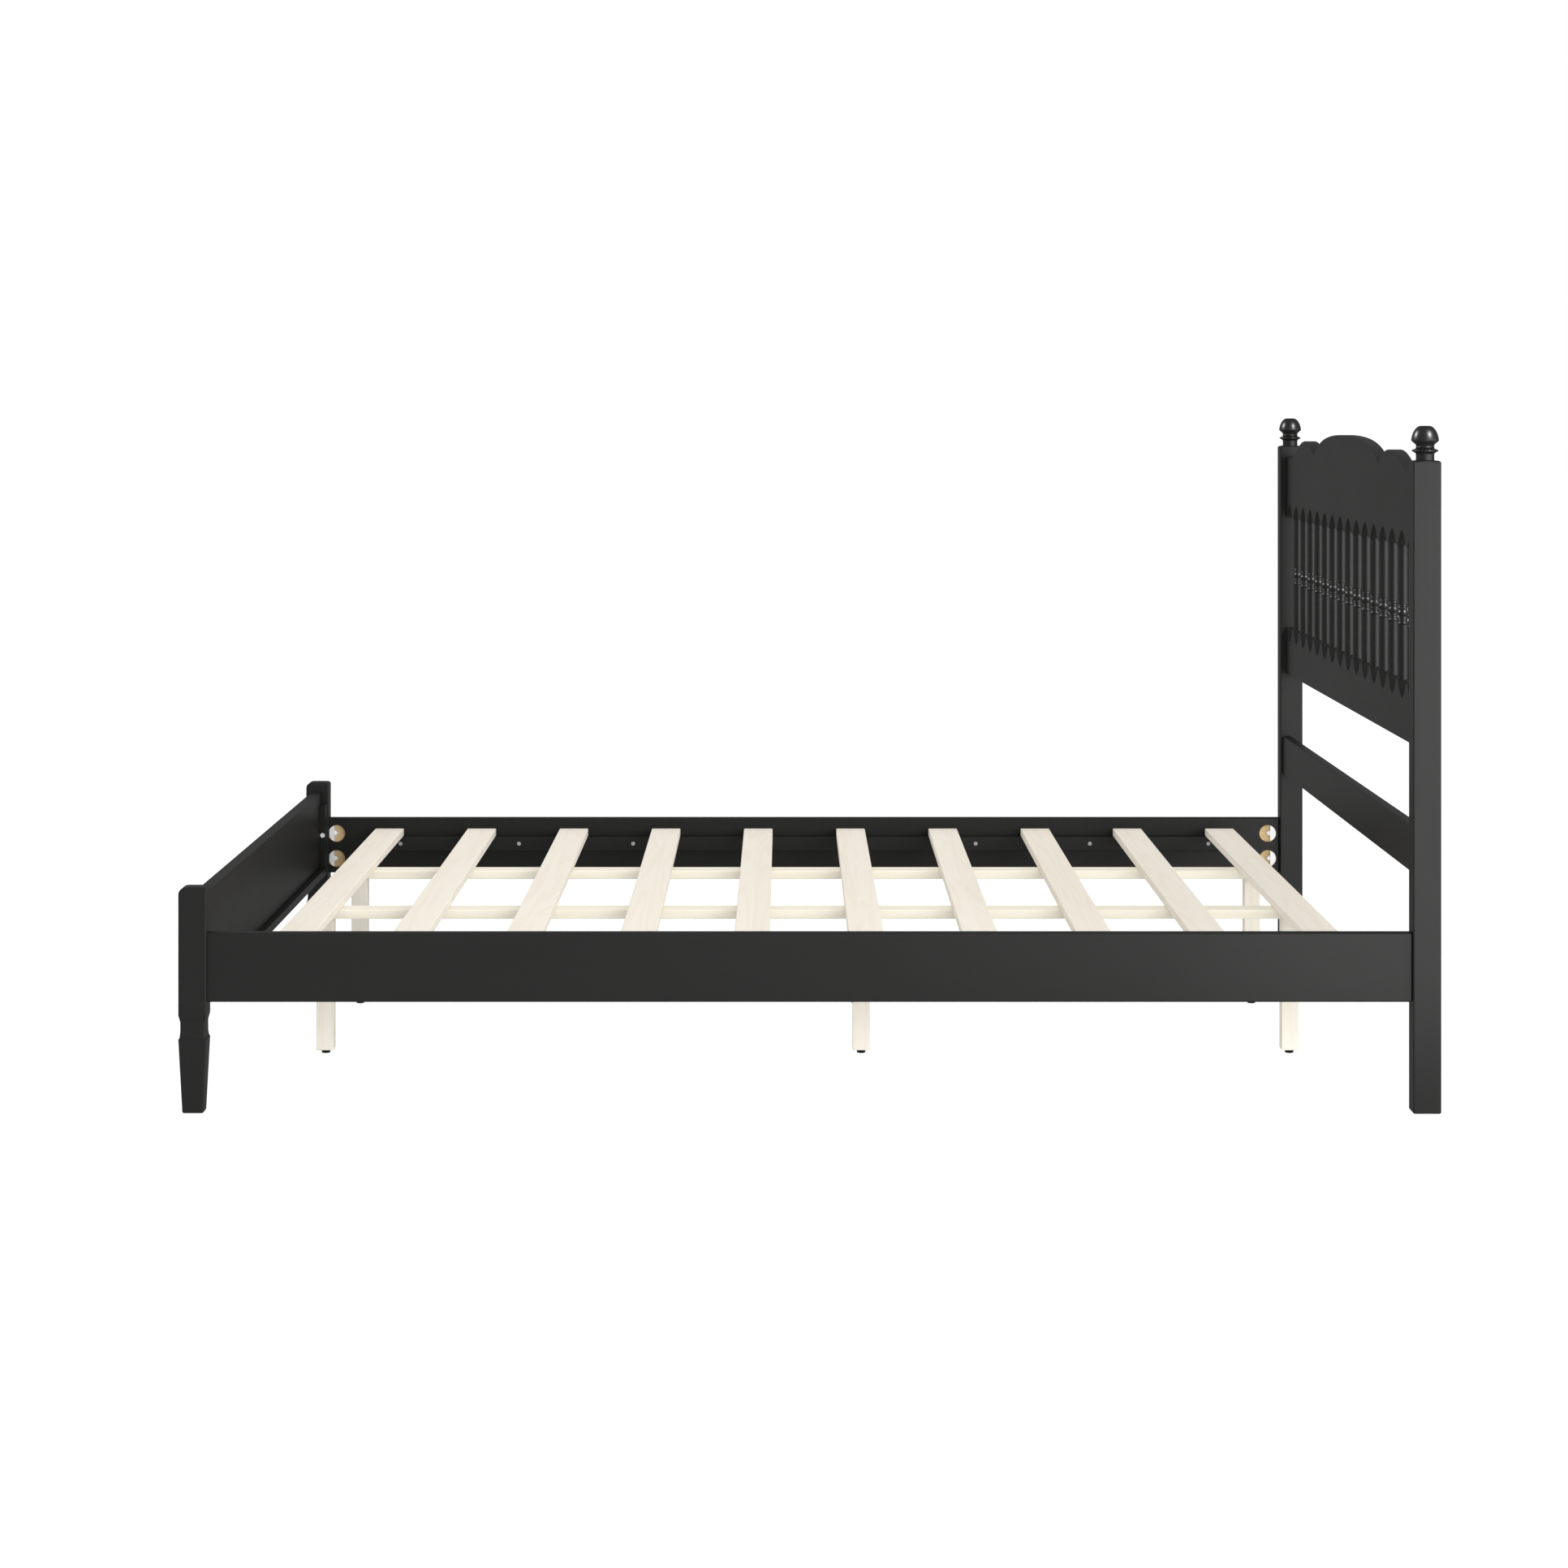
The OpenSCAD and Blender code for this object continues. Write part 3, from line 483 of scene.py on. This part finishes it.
def archTop(shape, low, high):  # the top edges of a head post rise towards the middle of each side
    middle, half = (low + high) / 2, (high - low) / 2
    domeFoot = high.z - post["domeHeight"] - making["level"]
    rims = [e for e in shape.edges if isLevel(e) and e.verts[0].co.z > domeFoot
            and e.calc_length() > 2 * post["edge"]]
    bmesh.ops.subdivide_edges(shape, edges=rims, cuts=post["sideCuts"], use_grid_fill=True)
    for vert in shape.verts:
        if vert.co.z > domeFoot:
            share = (high.z - vert.co.z) / post["domeHeight"]
            reach = min(abs(vert.co.x - middle.x) / half.x, abs(vert.co.y - middle.y) / half.y)
            vert.co.z += post["sideRise"] * share * (1 - reach * reach)


def roundIn(radius, depth):  # how far a rounded top edge draws in at a depth below the top
    return 0 if depth > radius else radius - math.sqrt(radius * radius - (radius - depth) ** 2)


def headLevels(height):
    bevel = post["floorBevel"]
    levels = [(0, bevel, bevel, bevel), (bevel, 0, 0, 0)]
    for i in range(post["domeSteps"] + 1):
        angle = math.pi / 2 * i / post["domeSteps"]
        inset = post["domeIn"] * (1 - math.cos(angle))
        levels.append((height - post["domeHeight"] * (1 - math.sin(angle)), inset, inset, inset))
    return levels


def footLevels(height):
    bevel, taper, steps = post["floorBevel"], footPost["taperIn"], footPost["steps"]
    levels = [(0,) + (taper + bevel,) * 3, (bevel,) + (taper,) * 3, (footPost["taperHeight"], 0, 0, 0)]
    for i in range(1, steps + 1):
        angle = math.pi / 2 * i / steps
        rise = footPost["coveHeight"] * footPost["coveLow"] * (1 - math.cos(angle))
        levels.append((footPost["taperHeight"] + rise,) + (footPost["coveIn"] * math.sin(angle),) * 3)
    for i in range(steps + 1):
        inset = footPost["coveIn"] * (1 + math.cos(math.pi * i / steps)) / 2
        rise = footPost["coveHeight"] * (footPost["coveTop"] + (1 - footPost["coveTop"]) * i / steps)
        levels.append((footPost["taperHeight"] + rise,) + (inset,) * 3)
    for i in range(steps + 1):
        depth = footPost["roundOut"] * (1 - math.sin(math.pi / 2 * i / steps))
        inset = roundIn(footPost["round"], depth)
        levels.append((height - depth, roundIn(footPost["roundOut"], depth), inset, inset))
    return levels


for side in sides:
    for kind, levelsOf in (("headboard", headLevels), ("foot", footLevels)):
        low, high = corners(kind + "_post_" + side)
        upright = raisePost(low, high, levelsOf(high.z))
        if kind == "headboard":
            archTop(upright, low, high)
        placePiece(upright, kind + "_upright_" + side, [kind + "_post_" + side], "paintZ")
print("posts made")


# Turned finials and spindles

finial = {"neck": 15.6, "ring": 22.4, "ringLip": 1.5, "ringTurn": 60, "beadOut": 2.5, "beadHalf": 2.1,
          "beadTurn": 48, "ball": 23.4, "crown": 7, "ringHeight": 16.3, "beadHeight": 22.5,
          "edgeHeight": 34.2, "height": 58.6, "steps": 96}


def finialProfile():  # neck, ring, bead and ball; the curves' handles are offsets from these
    neck, ring, ball, crown = finial["neck"], finial["ring"], finial["ball"], finial["crown"]
    ringHeight, beadHeight = finial["ringHeight"], finial["beadHeight"]
    lip, ringTurn, beadTurn = finial["ringLip"], finial["ringTurn"], finial["beadTurn"]
    edge, top = finial["edgeHeight"], finial["height"]
    return ([(0, 0), (neck, 0)]
            + curve((neck, ringHeight - 6.2), (neck + 0.3, ringHeight - 3.8),
                    (ring - 3.4, ringHeight - 2.6), (ring - 1, ringHeight - 1.4), steps=8)
            + sweep(ring - lip, ringHeight, lip, lip, -ringTurn, ringTurn, 8)
            + curve((ring - 1, ringHeight + 1.4), (ring - 3.4, ringHeight + 2.5),
                    (neck + 1.2, beadHeight - 3.0), (neck - 0.5, beadHeight - 1.7), steps=8)
            + sweep(neck - 2.2, beadHeight, finial["beadOut"], finial["beadHalf"], -beadTurn, beadTurn, 8)
            + curve((neck - 0.5, beadHeight + 1.7), (neck - 0.2, beadHeight + 4.6),
                    (ball - 4, edge - 4.8), (ball - 0.8, edge - 1.6), steps=12)
            + curve((ball - 0.8, edge - 1.6), (ball - 0.2, edge - 1.1), (ball + 0.1, edge - 0.6),
                    (ball, edge), steps=4)[1:]
            + curve((ball, edge), (ball - 0.9, top - 13), (crown + 9, top), (crown, top), steps=24)[1:]
            + [(0, top)])


for side in sides:
    low, high = corners("finial_" + side)
    middle = (low + high) / 2
    base = high.z - finial["height"]
    placePiece(move(turn(finialProfile(), finial["steps"]), Matrix.Translation((middle.x, middle.y, base))),
               "turned_finial_" + side, ["finial_" + side], "gloss")

# the heights of what is turned below and above the spindle's ball are from the ball's middle
spindle = {"count": 15, "shaft": 9.5, "peg": 12, "ball": 9.7, "ballHalf": 8.6, "ballHeight": 117,
           "bead": 8.4, "beadHalf": 1.7, "band": 9, "bandHalf": 1.6, "bandLip": 0.8,
           "neck": 7.9, "groove": 8.3, "ring": 9.7, "ringHalf": 2.4, "ringLip": 1.4,
           "below": {"shaft": 20.9, "ring": 18.3, "bead": 12.9, "band": 9.4, "neck": 7.4},
           "above": {"bead": 8.8, "band": 12.4, "grooveLow": 14.3, "grooveHigh": 15.4, "shaft": 16},
           "steps": 40}


def spindleProfile(bottom, top):  # the shaft's two ends
    shaft, neck, ball, groove = spindle["shaft"], spindle["neck"], spindle["ball"], spindle["groove"]
    below, above = spindle["below"], spindle["above"]
    middle = bottom + spindle["ballHeight"]
    cut = math.degrees(math.acos(neck / ball))

    def bead(height):
        return sweep(neck, height, spindle["bead"] - neck, spindle["beadHalf"], -90, 90, 8)

    def band(height):
        lip = spindle["bandLip"]
        return sweep(spindle["band"] - lip, height, lip, spindle["bandHalf"], -80, 80, 6)

    def ring(height):
        lip = spindle["ringLip"]
        return sweep(spindle["ring"] - lip, height, lip, spindle["ringHalf"], -60, 80, 8)

    return ([(0, bottom), (shaft, bottom), (shaft, middle - below["shaft"])]
            + ring(middle - below["ring"])
            + bead(middle - below["bead"])
            + band(middle - below["band"])
            + [(neck, middle - below["neck"])]
            + sweep(0, middle, ball, spindle["ballHalf"], -cut, cut, 16)
            + bead(middle + above["bead"])
            + band(middle + above["band"])
            + [(groove, middle + above["grooveLow"]), (groove, middle + above["grooveHigh"]),
               (shaft, middle + above["shaft"]), (shaft, top), (0, top)])


def centreOf(low, high):  # moves a shape turned about Z to the middle of a node
    return Matrix.Translation(((low.x + high.x) / 2, (low.y + high.y) / 2, 0))


for number in range(1, spindle["count"] + 1):
    node = "spindle_%02d" % number
    low, high = corners(node)
    profile = spindleProfile(low.z + spindle["peg"], high.z - spindle["peg"])
    placePiece(move(turn(profile, spindle["steps"]), centreOf(low, high)), "turned_" + node, [node], "gloss")
print("turned pieces made")


# Headboard rails: an outline across the bed, extruded and eased

board = {"tenon": 16, "edge": 1.0}
arch = {"flat": 9.6, "height": 28.5, "bulge": 4.5, "steps": 6}
crest = {"endHeight": 130, "rise": 56.5, "shoulderDrop": 19, "lobeRise": 37.5, "notchRise": 9,
         "footRise": 3.5, "footReach": 26, "lobeShare": 0.252, "sideShare": 0.182, "crownShare": 0.42,
         "steps": 12, "middleSteps": 20, "footSteps": 5}


def bulgeHandles(start, end, bulge):  # handles of a shallow arc that stands out to the left of its chord
    chord = end - start
    length = chord.length
    radius = (length * length / 4 + bulge * bulge) / (2 * bulge)
    turnAngle = math.asin(length / 2 / radius)
    reach = 4 / 3 * math.tan(turnAngle / 2) * radius / length
    spinOut = Matrix.Rotation(turnAngle, 2)
    spinIn = Matrix.Rotation(-turnAngle, 2)
    return start + spinOut @ chord * reach, end - spinIn @ chord * reach


def archedEdge(halfWidth, base, rise, places):  # from -Y to +Y; arches stand between the spindles
    pitch = places[1] - places[0]
    half = pitch / 2 - arch["flat"]
    bulge = arch["bulge"] if rise > 0 else -arch["bulge"]
    line = [(-halfWidth, base)]
    for number in range(len(places) + 1):
        middle = places[0] + (number - 0.5) * pitch
        near, peak, far = (Vector((middle - half, base)), Vector((middle, base + rise)),
                           Vector((middle + half, base)))
        up = curve(near, *bulgeHandles(near, peak, bulge), peak, steps=arch["steps"])
        down = curve(peak, *bulgeHandles(peak, far, bulge), far, steps=arch["steps"])
        line += up + down[1:]
    return line + [(halfWidth, base)]


def crestHalf(halfWidth, top):  # from the middle of the bed to the post: middle lobe, notch, side lobe, foot
    rise, notch, lobe, low = crest["rise"], crest["notchRise"], crest["lobeRise"], crest["footRise"]
    first = 2 * halfWidth * crest["lobeShare"]
    wide = 2 * halfWidth * crest["sideShare"]
    crown = first + wide * crest["crownShare"]
    foot = first + wide

    def run(*points, steps=crest["steps"]):
        return curve(*[(x, top + z) for x, z in points], steps=steps)

    return (run((0, rise), (first * 0.62, rise), (first * 0.86, rise - crest["shoulderDrop"]),
                (first, notch), steps=crest["middleSteps"])
            + run((first, notch), (first + wide * 0.1, lobe * 0.74), (crown - wide * 0.2, lobe),
                  (crown, lobe))[1:]
            + run((crown, lobe), (crown + wide * 0.24, lobe), (first + wide * 0.86, lobe * 0.33),
                  (foot, low))[1:]
            + run((foot, low), (foot + 10, 0), (foot + 16, 0), (foot + crest["footReach"], 0),
                  steps=crest["footSteps"])[1:]
            + [(halfWidth, top)])


def outlineBoard(outline, low, high):  # the outline lies in the YZ plane
    shape = bmesh.new()
    rim = [shape.verts.new((low, y, z)) for y, z in outline]
    face = shape.faces.new(rim)
    grown = bmesh.ops.extrude_face_region(shape, geom=[face])["geom"]
    bmesh.ops.translate(shape, vec=(high - low, 0, 0),
                        verts=[part for part in grown if isinstance(part, bmesh.types.BMVert)])
    flat = [f for f in shape.faces if len(f.verts) > 4]
    return ease(shape, list({e for f in flat for e in f.edges}), board["edge"], clamp=True)


spindlePlaces = [sum(corners("spindle_%02d" % n)[k].y for k in (0, 1)) / 2
                 for n in range(1, spindle["count"] + 1)]
crestLow, crestHigh = corners("headboard_crest_rail")
lowerLow, lowerHigh = corners("headboard_lower_rail")
halfWidth = crestHigh.y - board["tenon"]
crestTop = crestLow.z + crest["endHeight"]
rightHalf = crestHalf(halfWidth, crestTop)
crestLine = (archedEdge(halfWidth, crestLow.z, arch["height"], spindlePlaces)
             + rightHalf[::-1] + [(-y, z) for y, z in rightHalf[1:]])
placePiece(outlineBoard(crestLine, crestLow.x, crestHigh.x), "scalloped_crest_rail",
           ["headboard_crest_rail"], "paintY")

lowerLine = (archedEdge(halfWidth, lowerHigh.z, -arch["height"], spindlePlaces)
             + [(halfWidth, lowerLow.z), (-halfWidth, lowerLow.z)])
placePiece(outlineBoard(lowerLine, lowerLow.x, lowerHigh.x), "arched_lower_rail",
           ["headboard_lower_rail"], "paintY")


# Plain boards of the headboard and the footboard

plain = {"edge": 2.0, "stripEdge": 0.8, "tenon": Vector((0, 16, 0))}


def plainBoard(node, name):
    low, high = corners(node)
    placePiece(easedBox(low + plain["tenon"], high - plain["tenon"], plain["edge"]), name, [node], "paintY")


plainBoard("headboard_cross_rail", "plain_cross_rail")
plainBoard("footboard_panel", "plain_foot_panel")
placePiece(easedBox(*corners("footboard_ledge"), plain["stripEdge"]), "foot_panel_ledge",
           ["footboard_ledge"], "paintY")
print("boards made")


# Screws with crossed slots

screws = {"strip": {"head": 5, "headDepth": 3, "shank": 2, "length": 32, "hole": 40},
          "cleat": {"head": 4.2, "headDepth": 3, "shank": 2, "length": 32, "hole": 24},
          "leg": {"head": 5.5, "headDepth": 2.5, "shank": 3, "length": 73, "hole": 24}}
slotCut = {"madeFor": 5, "reach": 2.6, "half": 0.55, "depth": 1.6, "edge": 0.1}  # for a head of that radius
screwMaking = {"rimEdge": 0.3, "tip": 3, "room": 0.2, "steps": 28}


def screwShape(kind):  # top of the head at z = 0, pointing down, with a crossed slot
    head, shank, length = screws[kind]["head"], screws[kind]["shank"], screws[kind]["length"]
    edge, tip = screwMaking["rimEdge"], screwMaking["tip"]
    body = turn([(0, 0), (head - edge, 0), (head, -edge), (shank, -screws[kind]["headDepth"]),
                 (shank, -length + tip), (0, -length)], screwMaking["steps"])
    grow = head / slotCut["madeFor"]
    corner = Vector([slotCut[key] * grow for key in ("reach", "half", "depth")])
    for angle in (0, math.pi / 2):
        slot = easedBox(-corner, corner, slotCut["edge"], 1)
        body = cutAway(body, move(slot, Matrix.Rotation(angle, 4, "Z")))
    return body


def countersink(kind):  # the room that such a screw takes
    room, length = screwMaking["room"], screws[kind]["hole"]
    wide, narrow = screws[kind]["head"] + room, screws[kind]["shank"] + room
    past = making["past"]
    return turn([(0, past), (wide, past), (wide, 0), (narrow, -screws[kind]["headDepth"]),
                 (narrow, -length), (0, -length)], screwMaking["steps"])


cleat = {"screws": 8, "gap": 245.5, "end": 61.5, "edge": 1.5}
strip = {"width": 28, "screwShare": 0.52}


def cleatScrewPlaces(side):
    low, high = corners("side_cleat_" + side)
    spots = [(i - (cleat["screws"] - 1) / 2) * cleat["gap"] for i in range(1, cleat["screws"] - 1)]
    spots += [low.x + cleat["end"], high.x - cleat["end"]]
    face = low.y if sides[side] > 0 else high.y
    return [towards((0, -sides[side], 0), (x, face, (low.z + high.z) / 2)) for x in spots]


def stripScrewPlaces():
    low, high = corners("footboard_end_strips")
    height = low.z + (high.z - low.z) * strip["screwShare"]
    return [towards((0, -sign, 0), ((low.x + high.x) / 2, sign * (high.y - strip["width"]), height))
            for sign in sides.values()]


cleatPlaces = []
for side in sides:
    places = cleatScrewPlaces(side)
    cleatPlaces += places
    wood = easedBox(*corners("side_cleat_" + side), cleat["edge"])
    placePiece(cutAway(wood, copies(countersink("cleat"), places)), "slat_cleat_" + side,
               ["side_cleat_" + side], "paintX")

low, high = corners("footboard_end_strips")
strips = bmesh.new()
for sign in sides.values():
    ends = sorted((sign * high.y, sign * (high.y - strip["width"])))
    addShape(strips, easedBox(Vector((low.x, ends[0], low.z)), Vector((high.x, ends[1], high.z)),
                              plain["stripEdge"]))
places = stripScrewPlaces()
placePiece(cutAway(strips, copies(countersink("strip"), places)), "foot_panel_end_strips",
           ["footboard_end_strips"], "paintZ")
woodScrews = addShape(copies(second(screwShape("cleat")), cleatPlaces), copies(screwShape("strip"), places))
# the cleat screws take the darker zinc, painted shade, as their second material
placePiece(woodScrews, "crosshead_screws", ["wood_screws"], "zinc", inside=shadedZincSteel())
print("cleats, strips and screws made")


# Side rails with drilled bolt pockets, and what sits in them

rail = {"edge": 3.0, "pocket": 18, "pocketDepth": 16, "pocketEnd": 25, "pocketLow": 30.5, "pocketGap": 54,
        "rim": 0.6, "boltIn": 9, "steps": 64}
bolt = {"radius": 3, "groove": 2.45, "pitch": 1.0, "reach": 55, "end": 1.9, "threadPastFlat": 2,
        "steps": 24}
washer = {"flat": 5.7, "back": 2, "play": 0.2, "edge": 0.5, "sharp": 0.6}  # flat: from the pocket's middle
nut = {"width": 10, "thick": 5, "edge": 0.5, "play": 0.1}


def pocketSpots(side):  # the pocket's middle on the rail's inner face, and which way its post lies in X
    low, high = corners("side_rail_" + side)
    face = low.y if sides[side] > 0 else high.y
    heights = [low.z + rail["pocketLow"], low.z + rail["pocketLow"] + rail["pocketGap"]]
    ends = [(low.x + rail["pocketEnd"], -1), (high.x - rail["pocketEnd"], 1)]
    return [(Vector((x, face, z)), way) for x, way in ends for z in heights]


boltPlaces, washerPlaces = [], []
for side, sign in sides.items():
    low, high = corners("side_rail_" + side)
    spots = pocketSpots(side)
    drill = second(cylinder(-rail["pocketDepth"], making["past"], rail["pocket"], rail["steps"]))
    holes = copies(drill, [towards((0, -sign, 0), spot) for spot, way in spots])
    innerFace = abs(spots[0][0].y)
    placePiece(cutAway(easedBox(low, high, rail["edge"]), holes, rail["rim"]), "bolted_rail_" + side,
               ["side_rail_" + side], "paintX", inside=pocketWood(innerFace))
    for spot, way in spots:
        boltPlaces.append(towards((way, 0, 0), spot + Vector((0, sign * rail["boltIn"], 0))))
        facing = Matrix.Rotation(0 if way > 0 else math.pi, 4, "Z")
        flip = Matrix.Scale(-1, 4, (0, 1, 0)) if sign * way < 0 else Matrix.Identity(4)
        washerPlaces.append(Matrix.Translation(spot) @ facing @ flip)


def boltShape():  # local +Z points to the post; the thread shows from the end to the washer's flat
    radius, groove, pitch = bolt["radius"], bolt["groove"], bolt["pitch"]
    profile = [(0, -bolt["end"]), (groove, -bolt["end"])]
    height = -bolt["end"] + pitch / 2
    while height < washer["flat"] + bolt["threadPastFlat"]:
        profile += [(radius, height), (groove, height + pitch / 2)]
        height += pitch
    return turn(profile + [(radius, height), (radius, bolt["reach"]), (0, bolt["reach"])], bolt["steps"])


def nutShape():  # six-sided, on the bolt's axis, against the washer's flat
    corner = nut["width"] / 2 / math.cos(math.pi / 6)
    block = cylinder(washer["flat"] - nut["thick"], washer["flat"], corner, 6)
    ease(block, block.edges[:], nut["edge"])
    return cutAway(block, cylinder(-nut["width"], nut["width"], bolt["radius"] + nut["play"], bolt["steps"]))


def washerShape():  # a drum across the pocket, its flat towards -X, made for a post at +X and a rail at +Y
    drum = cylinder(washer["back"], rail["pocketDepth"], rail["pocket"] - washer["play"], rail["steps"])
    move(drum, Matrix.Rotation(-math.pi / 2, 4, "X"))
    cut = bmesh.ops.bisect_plane(drum, geom=drum.verts[:] + drum.edges[:] + drum.faces[:],
                                 plane_co=(washer["flat"], 0, 0), plane_no=(-1, 0, 0), clear_outer=True)
    bmesh.ops.edgeloop_fill(drum, edges=[e for e in cut["geom_cut"] if isinstance(e, bmesh.types.BMEdge)])
    sharp = [e for e in drum.edges if len(e.link_faces) == 2 and e.calc_face_angle() > washer["sharp"]]
    return ease(drum, sharp, washer["edge"])


placePiece(copies(boltShape(), boltPlaces), "threaded_bed_bolts", ["bed_bolts"], "zinc")
placePiece(copies(nutShape(), boltPlaces), "hex_nuts", ["bolt_nuts"], "zinc")
placePiece(copies(washerShape(), washerPlaces), "barrel_washers", ["half_moon_washers"], "zinc")
print("rails and hardware made")


# Slatted base: slats, beams, legs, their screws and the glides

slat = {"count": 10, "edge": 2.0, "screwed": (1, 6, 10), "beamOff": 262}
leg = {"edge": 2.0, "count": 6}
glide = {"radius": 8, "height": 6.5, "edge": 1.2, "stem": 4, "stemLength": 30, "stemEdge": 1, "steps": 48}

legScrewPlaces = []
for number in range(1, slat["count"] + 1):
    node = "slat_%02d" % number
    low, high = corners(node)
    wood = easedBox(low, high, slat["edge"])
    if number in slat["screwed"]:
        places = [Matrix.Translation(((low.x + high.x) / 2, sign * slat["beamOff"], high.z))
                  for sign in sides.values()]
        legScrewPlaces += places
        wood = cutAway(wood, copies(countersink("leg"), places))
    placePiece(wood, "pale_" + node, [node], "paleY")
placePiece(copies(screwShape("leg"), legScrewPlaces), "crosshead_leg_screws", ["leg_screws"], "zinc")

for side in sides:
    placePiece(easedBox(*corners("support_beam_" + side), slat["edge"]), "pale_beam_" + side,
               ["support_beam_" + side], "paleX")


def glideShape():  # a rounded foot and the stem that screws into the leg
    height, edge, stem, tip = glide["height"], glide["edge"], glide["stem"], glide["stemEdge"]
    inner = glide["radius"] - edge
    top = height + glide["stemLength"]
    return turn([(0, 0), (inner, 0)] + sweep(inner, edge, edge, edge, -90, 0, 5)
                + sweep(inner, height - edge, edge, edge, 0, 60, 3)
                + [(inner, height), (stem, height), (stem, top - tip), (stem - tip, top), (0, top)],
                glide["steps"])


for number in range(1, leg["count"] + 1):
    legNode, glideNode = "support_leg_%d" % number, "leveling_glide_%d" % number
    low, high = corners(legNode)
    placePiece(easedBox(low, high, leg["edge"]), "pale_leg_%d" % number, [legNode], "paleZ")
    placePiece(move(glideShape(), centreOf(low, high)), "screw_in_glide_%d" % number, [glideNode], "plastic",
               body="glide_%d" % number)
print("slatted base made")


# Floor, background and lamps

floor = {"size": 60, "bounce": 0.8, "glow": 0.93, "catch": 0.16}  # catch: how much light and shadow shows
studio = {"ambient": 0.84}
lamps = {
    "front softbox": {"place": (1.5, -8.0, 1.5), "aim": (0, 0, 0.4), "size": (3.2, 2.6), "radiance": 12,
                      "shines": "diffuse"},
    "top softbox": {"place": (0.3, -0.6, 4.6), "aim": (0.3, 0, 0), "size": (3.2, 2.6), "radiance": 0.8,
                    "shines": "diffuse"},
    "right softbox": {"place": (6.0, -3.0, 3.0), "aim": (0, 0, 0.4), "size": (4.0, 3.0), "radiance": 4,
                      "shines": "diffuse"},
    "right wall": {"place": (4.5, -4.6, 1.02), "aim": (1.0, -0.8, 1.02), "size": (8.0, 2.0), "radiance": 14.6,
                   "shines": "paint"},
    "right floor panel": {"place": (3.2, -3.8, 0.02), "aim": (3.2, -3.8, 5), "size": (4.8, 5.0),
                          "radiance": 5.4, "shines": "paint"},
    "right spot panel": {"place": (4.8, -5.6, 5.5), "aim": (1.05, -0.2, 0.95), "size": (2.2, 2.2),
                         "radiance": 400, "shines": "turned"},
    "left spot panel": {"place": (-5.9, 1.3, 4.7), "aim": (1.05, -0.2, 0.95), "size": (1.6, 1.6),
                        "radiance": 400, "shines": "turned"},
    "left rim panel": {"place": (-3.4, 3.6, 1.0), "aim": (1.0, -0.2, 0.9), "size": (3.0, 2.2),
                       "radiance": 1.5, "shines": "turned"},
}


def seenDirectly(surface):  # 1 for camera, glossy and transmission rays
    rays = [surface.node("LightPath", out=name)
            for name in ("Is Camera Ray", "Is Glossy Ray", "Is Transmission Ray")]
    return surface.clamp(rays[0] + rays[1] + rays[2])


def addFloor():
    look = Surface(bpy.data.materials.new("pale floor"))
    shown = look.node("AddShader", {}, {
        0: look.node("Emission", {}, {"Color": (1, 1, 1, 1), "Strength": floor["glow"]}),
        1: look.node("BsdfDiffuse", {}, {"Color": (floor["catch"],) * 3 + (1,)})})
    hidden = look.node("BsdfDiffuse", {}, {"Color": (floor["bounce"],) * 3 + (1,)})
    look.node("OutputMaterial", {}, {"Surface": look.node("MixShader", {}, {
        0: seenDirectly(look), 1: hidden, 2: shown})})
    look.owner.cycles.emission_sampling = "NONE"  # the glow is only met by rays that see it
    shape = bmesh.new()
    bmesh.ops.create_grid(shape, x_segments=1, y_segments=1, size=floor["size"] / 2)
    ground = bpy.data.objects.new("pale floor", asMesh(shape))
    ground.data.materials.append(look.owner)
    bpy.context.collection.objects.link(ground)


def addBackground():
    world = bpy.data.worlds.new("white studio")
    bpy.context.scene.world = world
    world.cycles.sampling_method = "NONE"
    sky = Surface(world)
    strength = studio["ambient"] + seenDirectly(sky) * (1 - studio["ambient"])
    sky.node("OutputWorld", {}, {"Surface": sky.node("Background", {}, {
        "Color": (1, 1, 1, 1), "Strength": strength})})


def addLamps():
    for name, lamp in lamps.items():
        light = bpy.data.lights.new(name, "AREA")
        light.shape = "RECTANGLE"
        light.size, light.size_y = lamp["size"]
        light.energy = lamp["radiance"] * math.pi * light.size * light.size_y
        holder = bpy.data.objects.new(name, light)
        aim = Vector(lamp["aim"]) - Vector(lamp["place"])
        holder.location = lamp["place"]
        holder.rotation_euler = aim.to_track_quat("-Z", "Y").to_euler()
        holder.visible_camera = False
        sheen = {"paint": painted, "turned": glossy}.get(lamp["shines"])
        holder.visible_diffuse = sheen is None
        holder.visible_glossy = sheen is not None
        if sheen is not None:  # the sheen of the black paint, set apart from the plain light
            holder.light_linking.receiver_collection = sheen
        bpy.context.collection.objects.link(holder)


addFloor()
addBackground()
addLamps()
bpy.context.scene.view_settings.view_transform = "Standard"
print("studio lit")
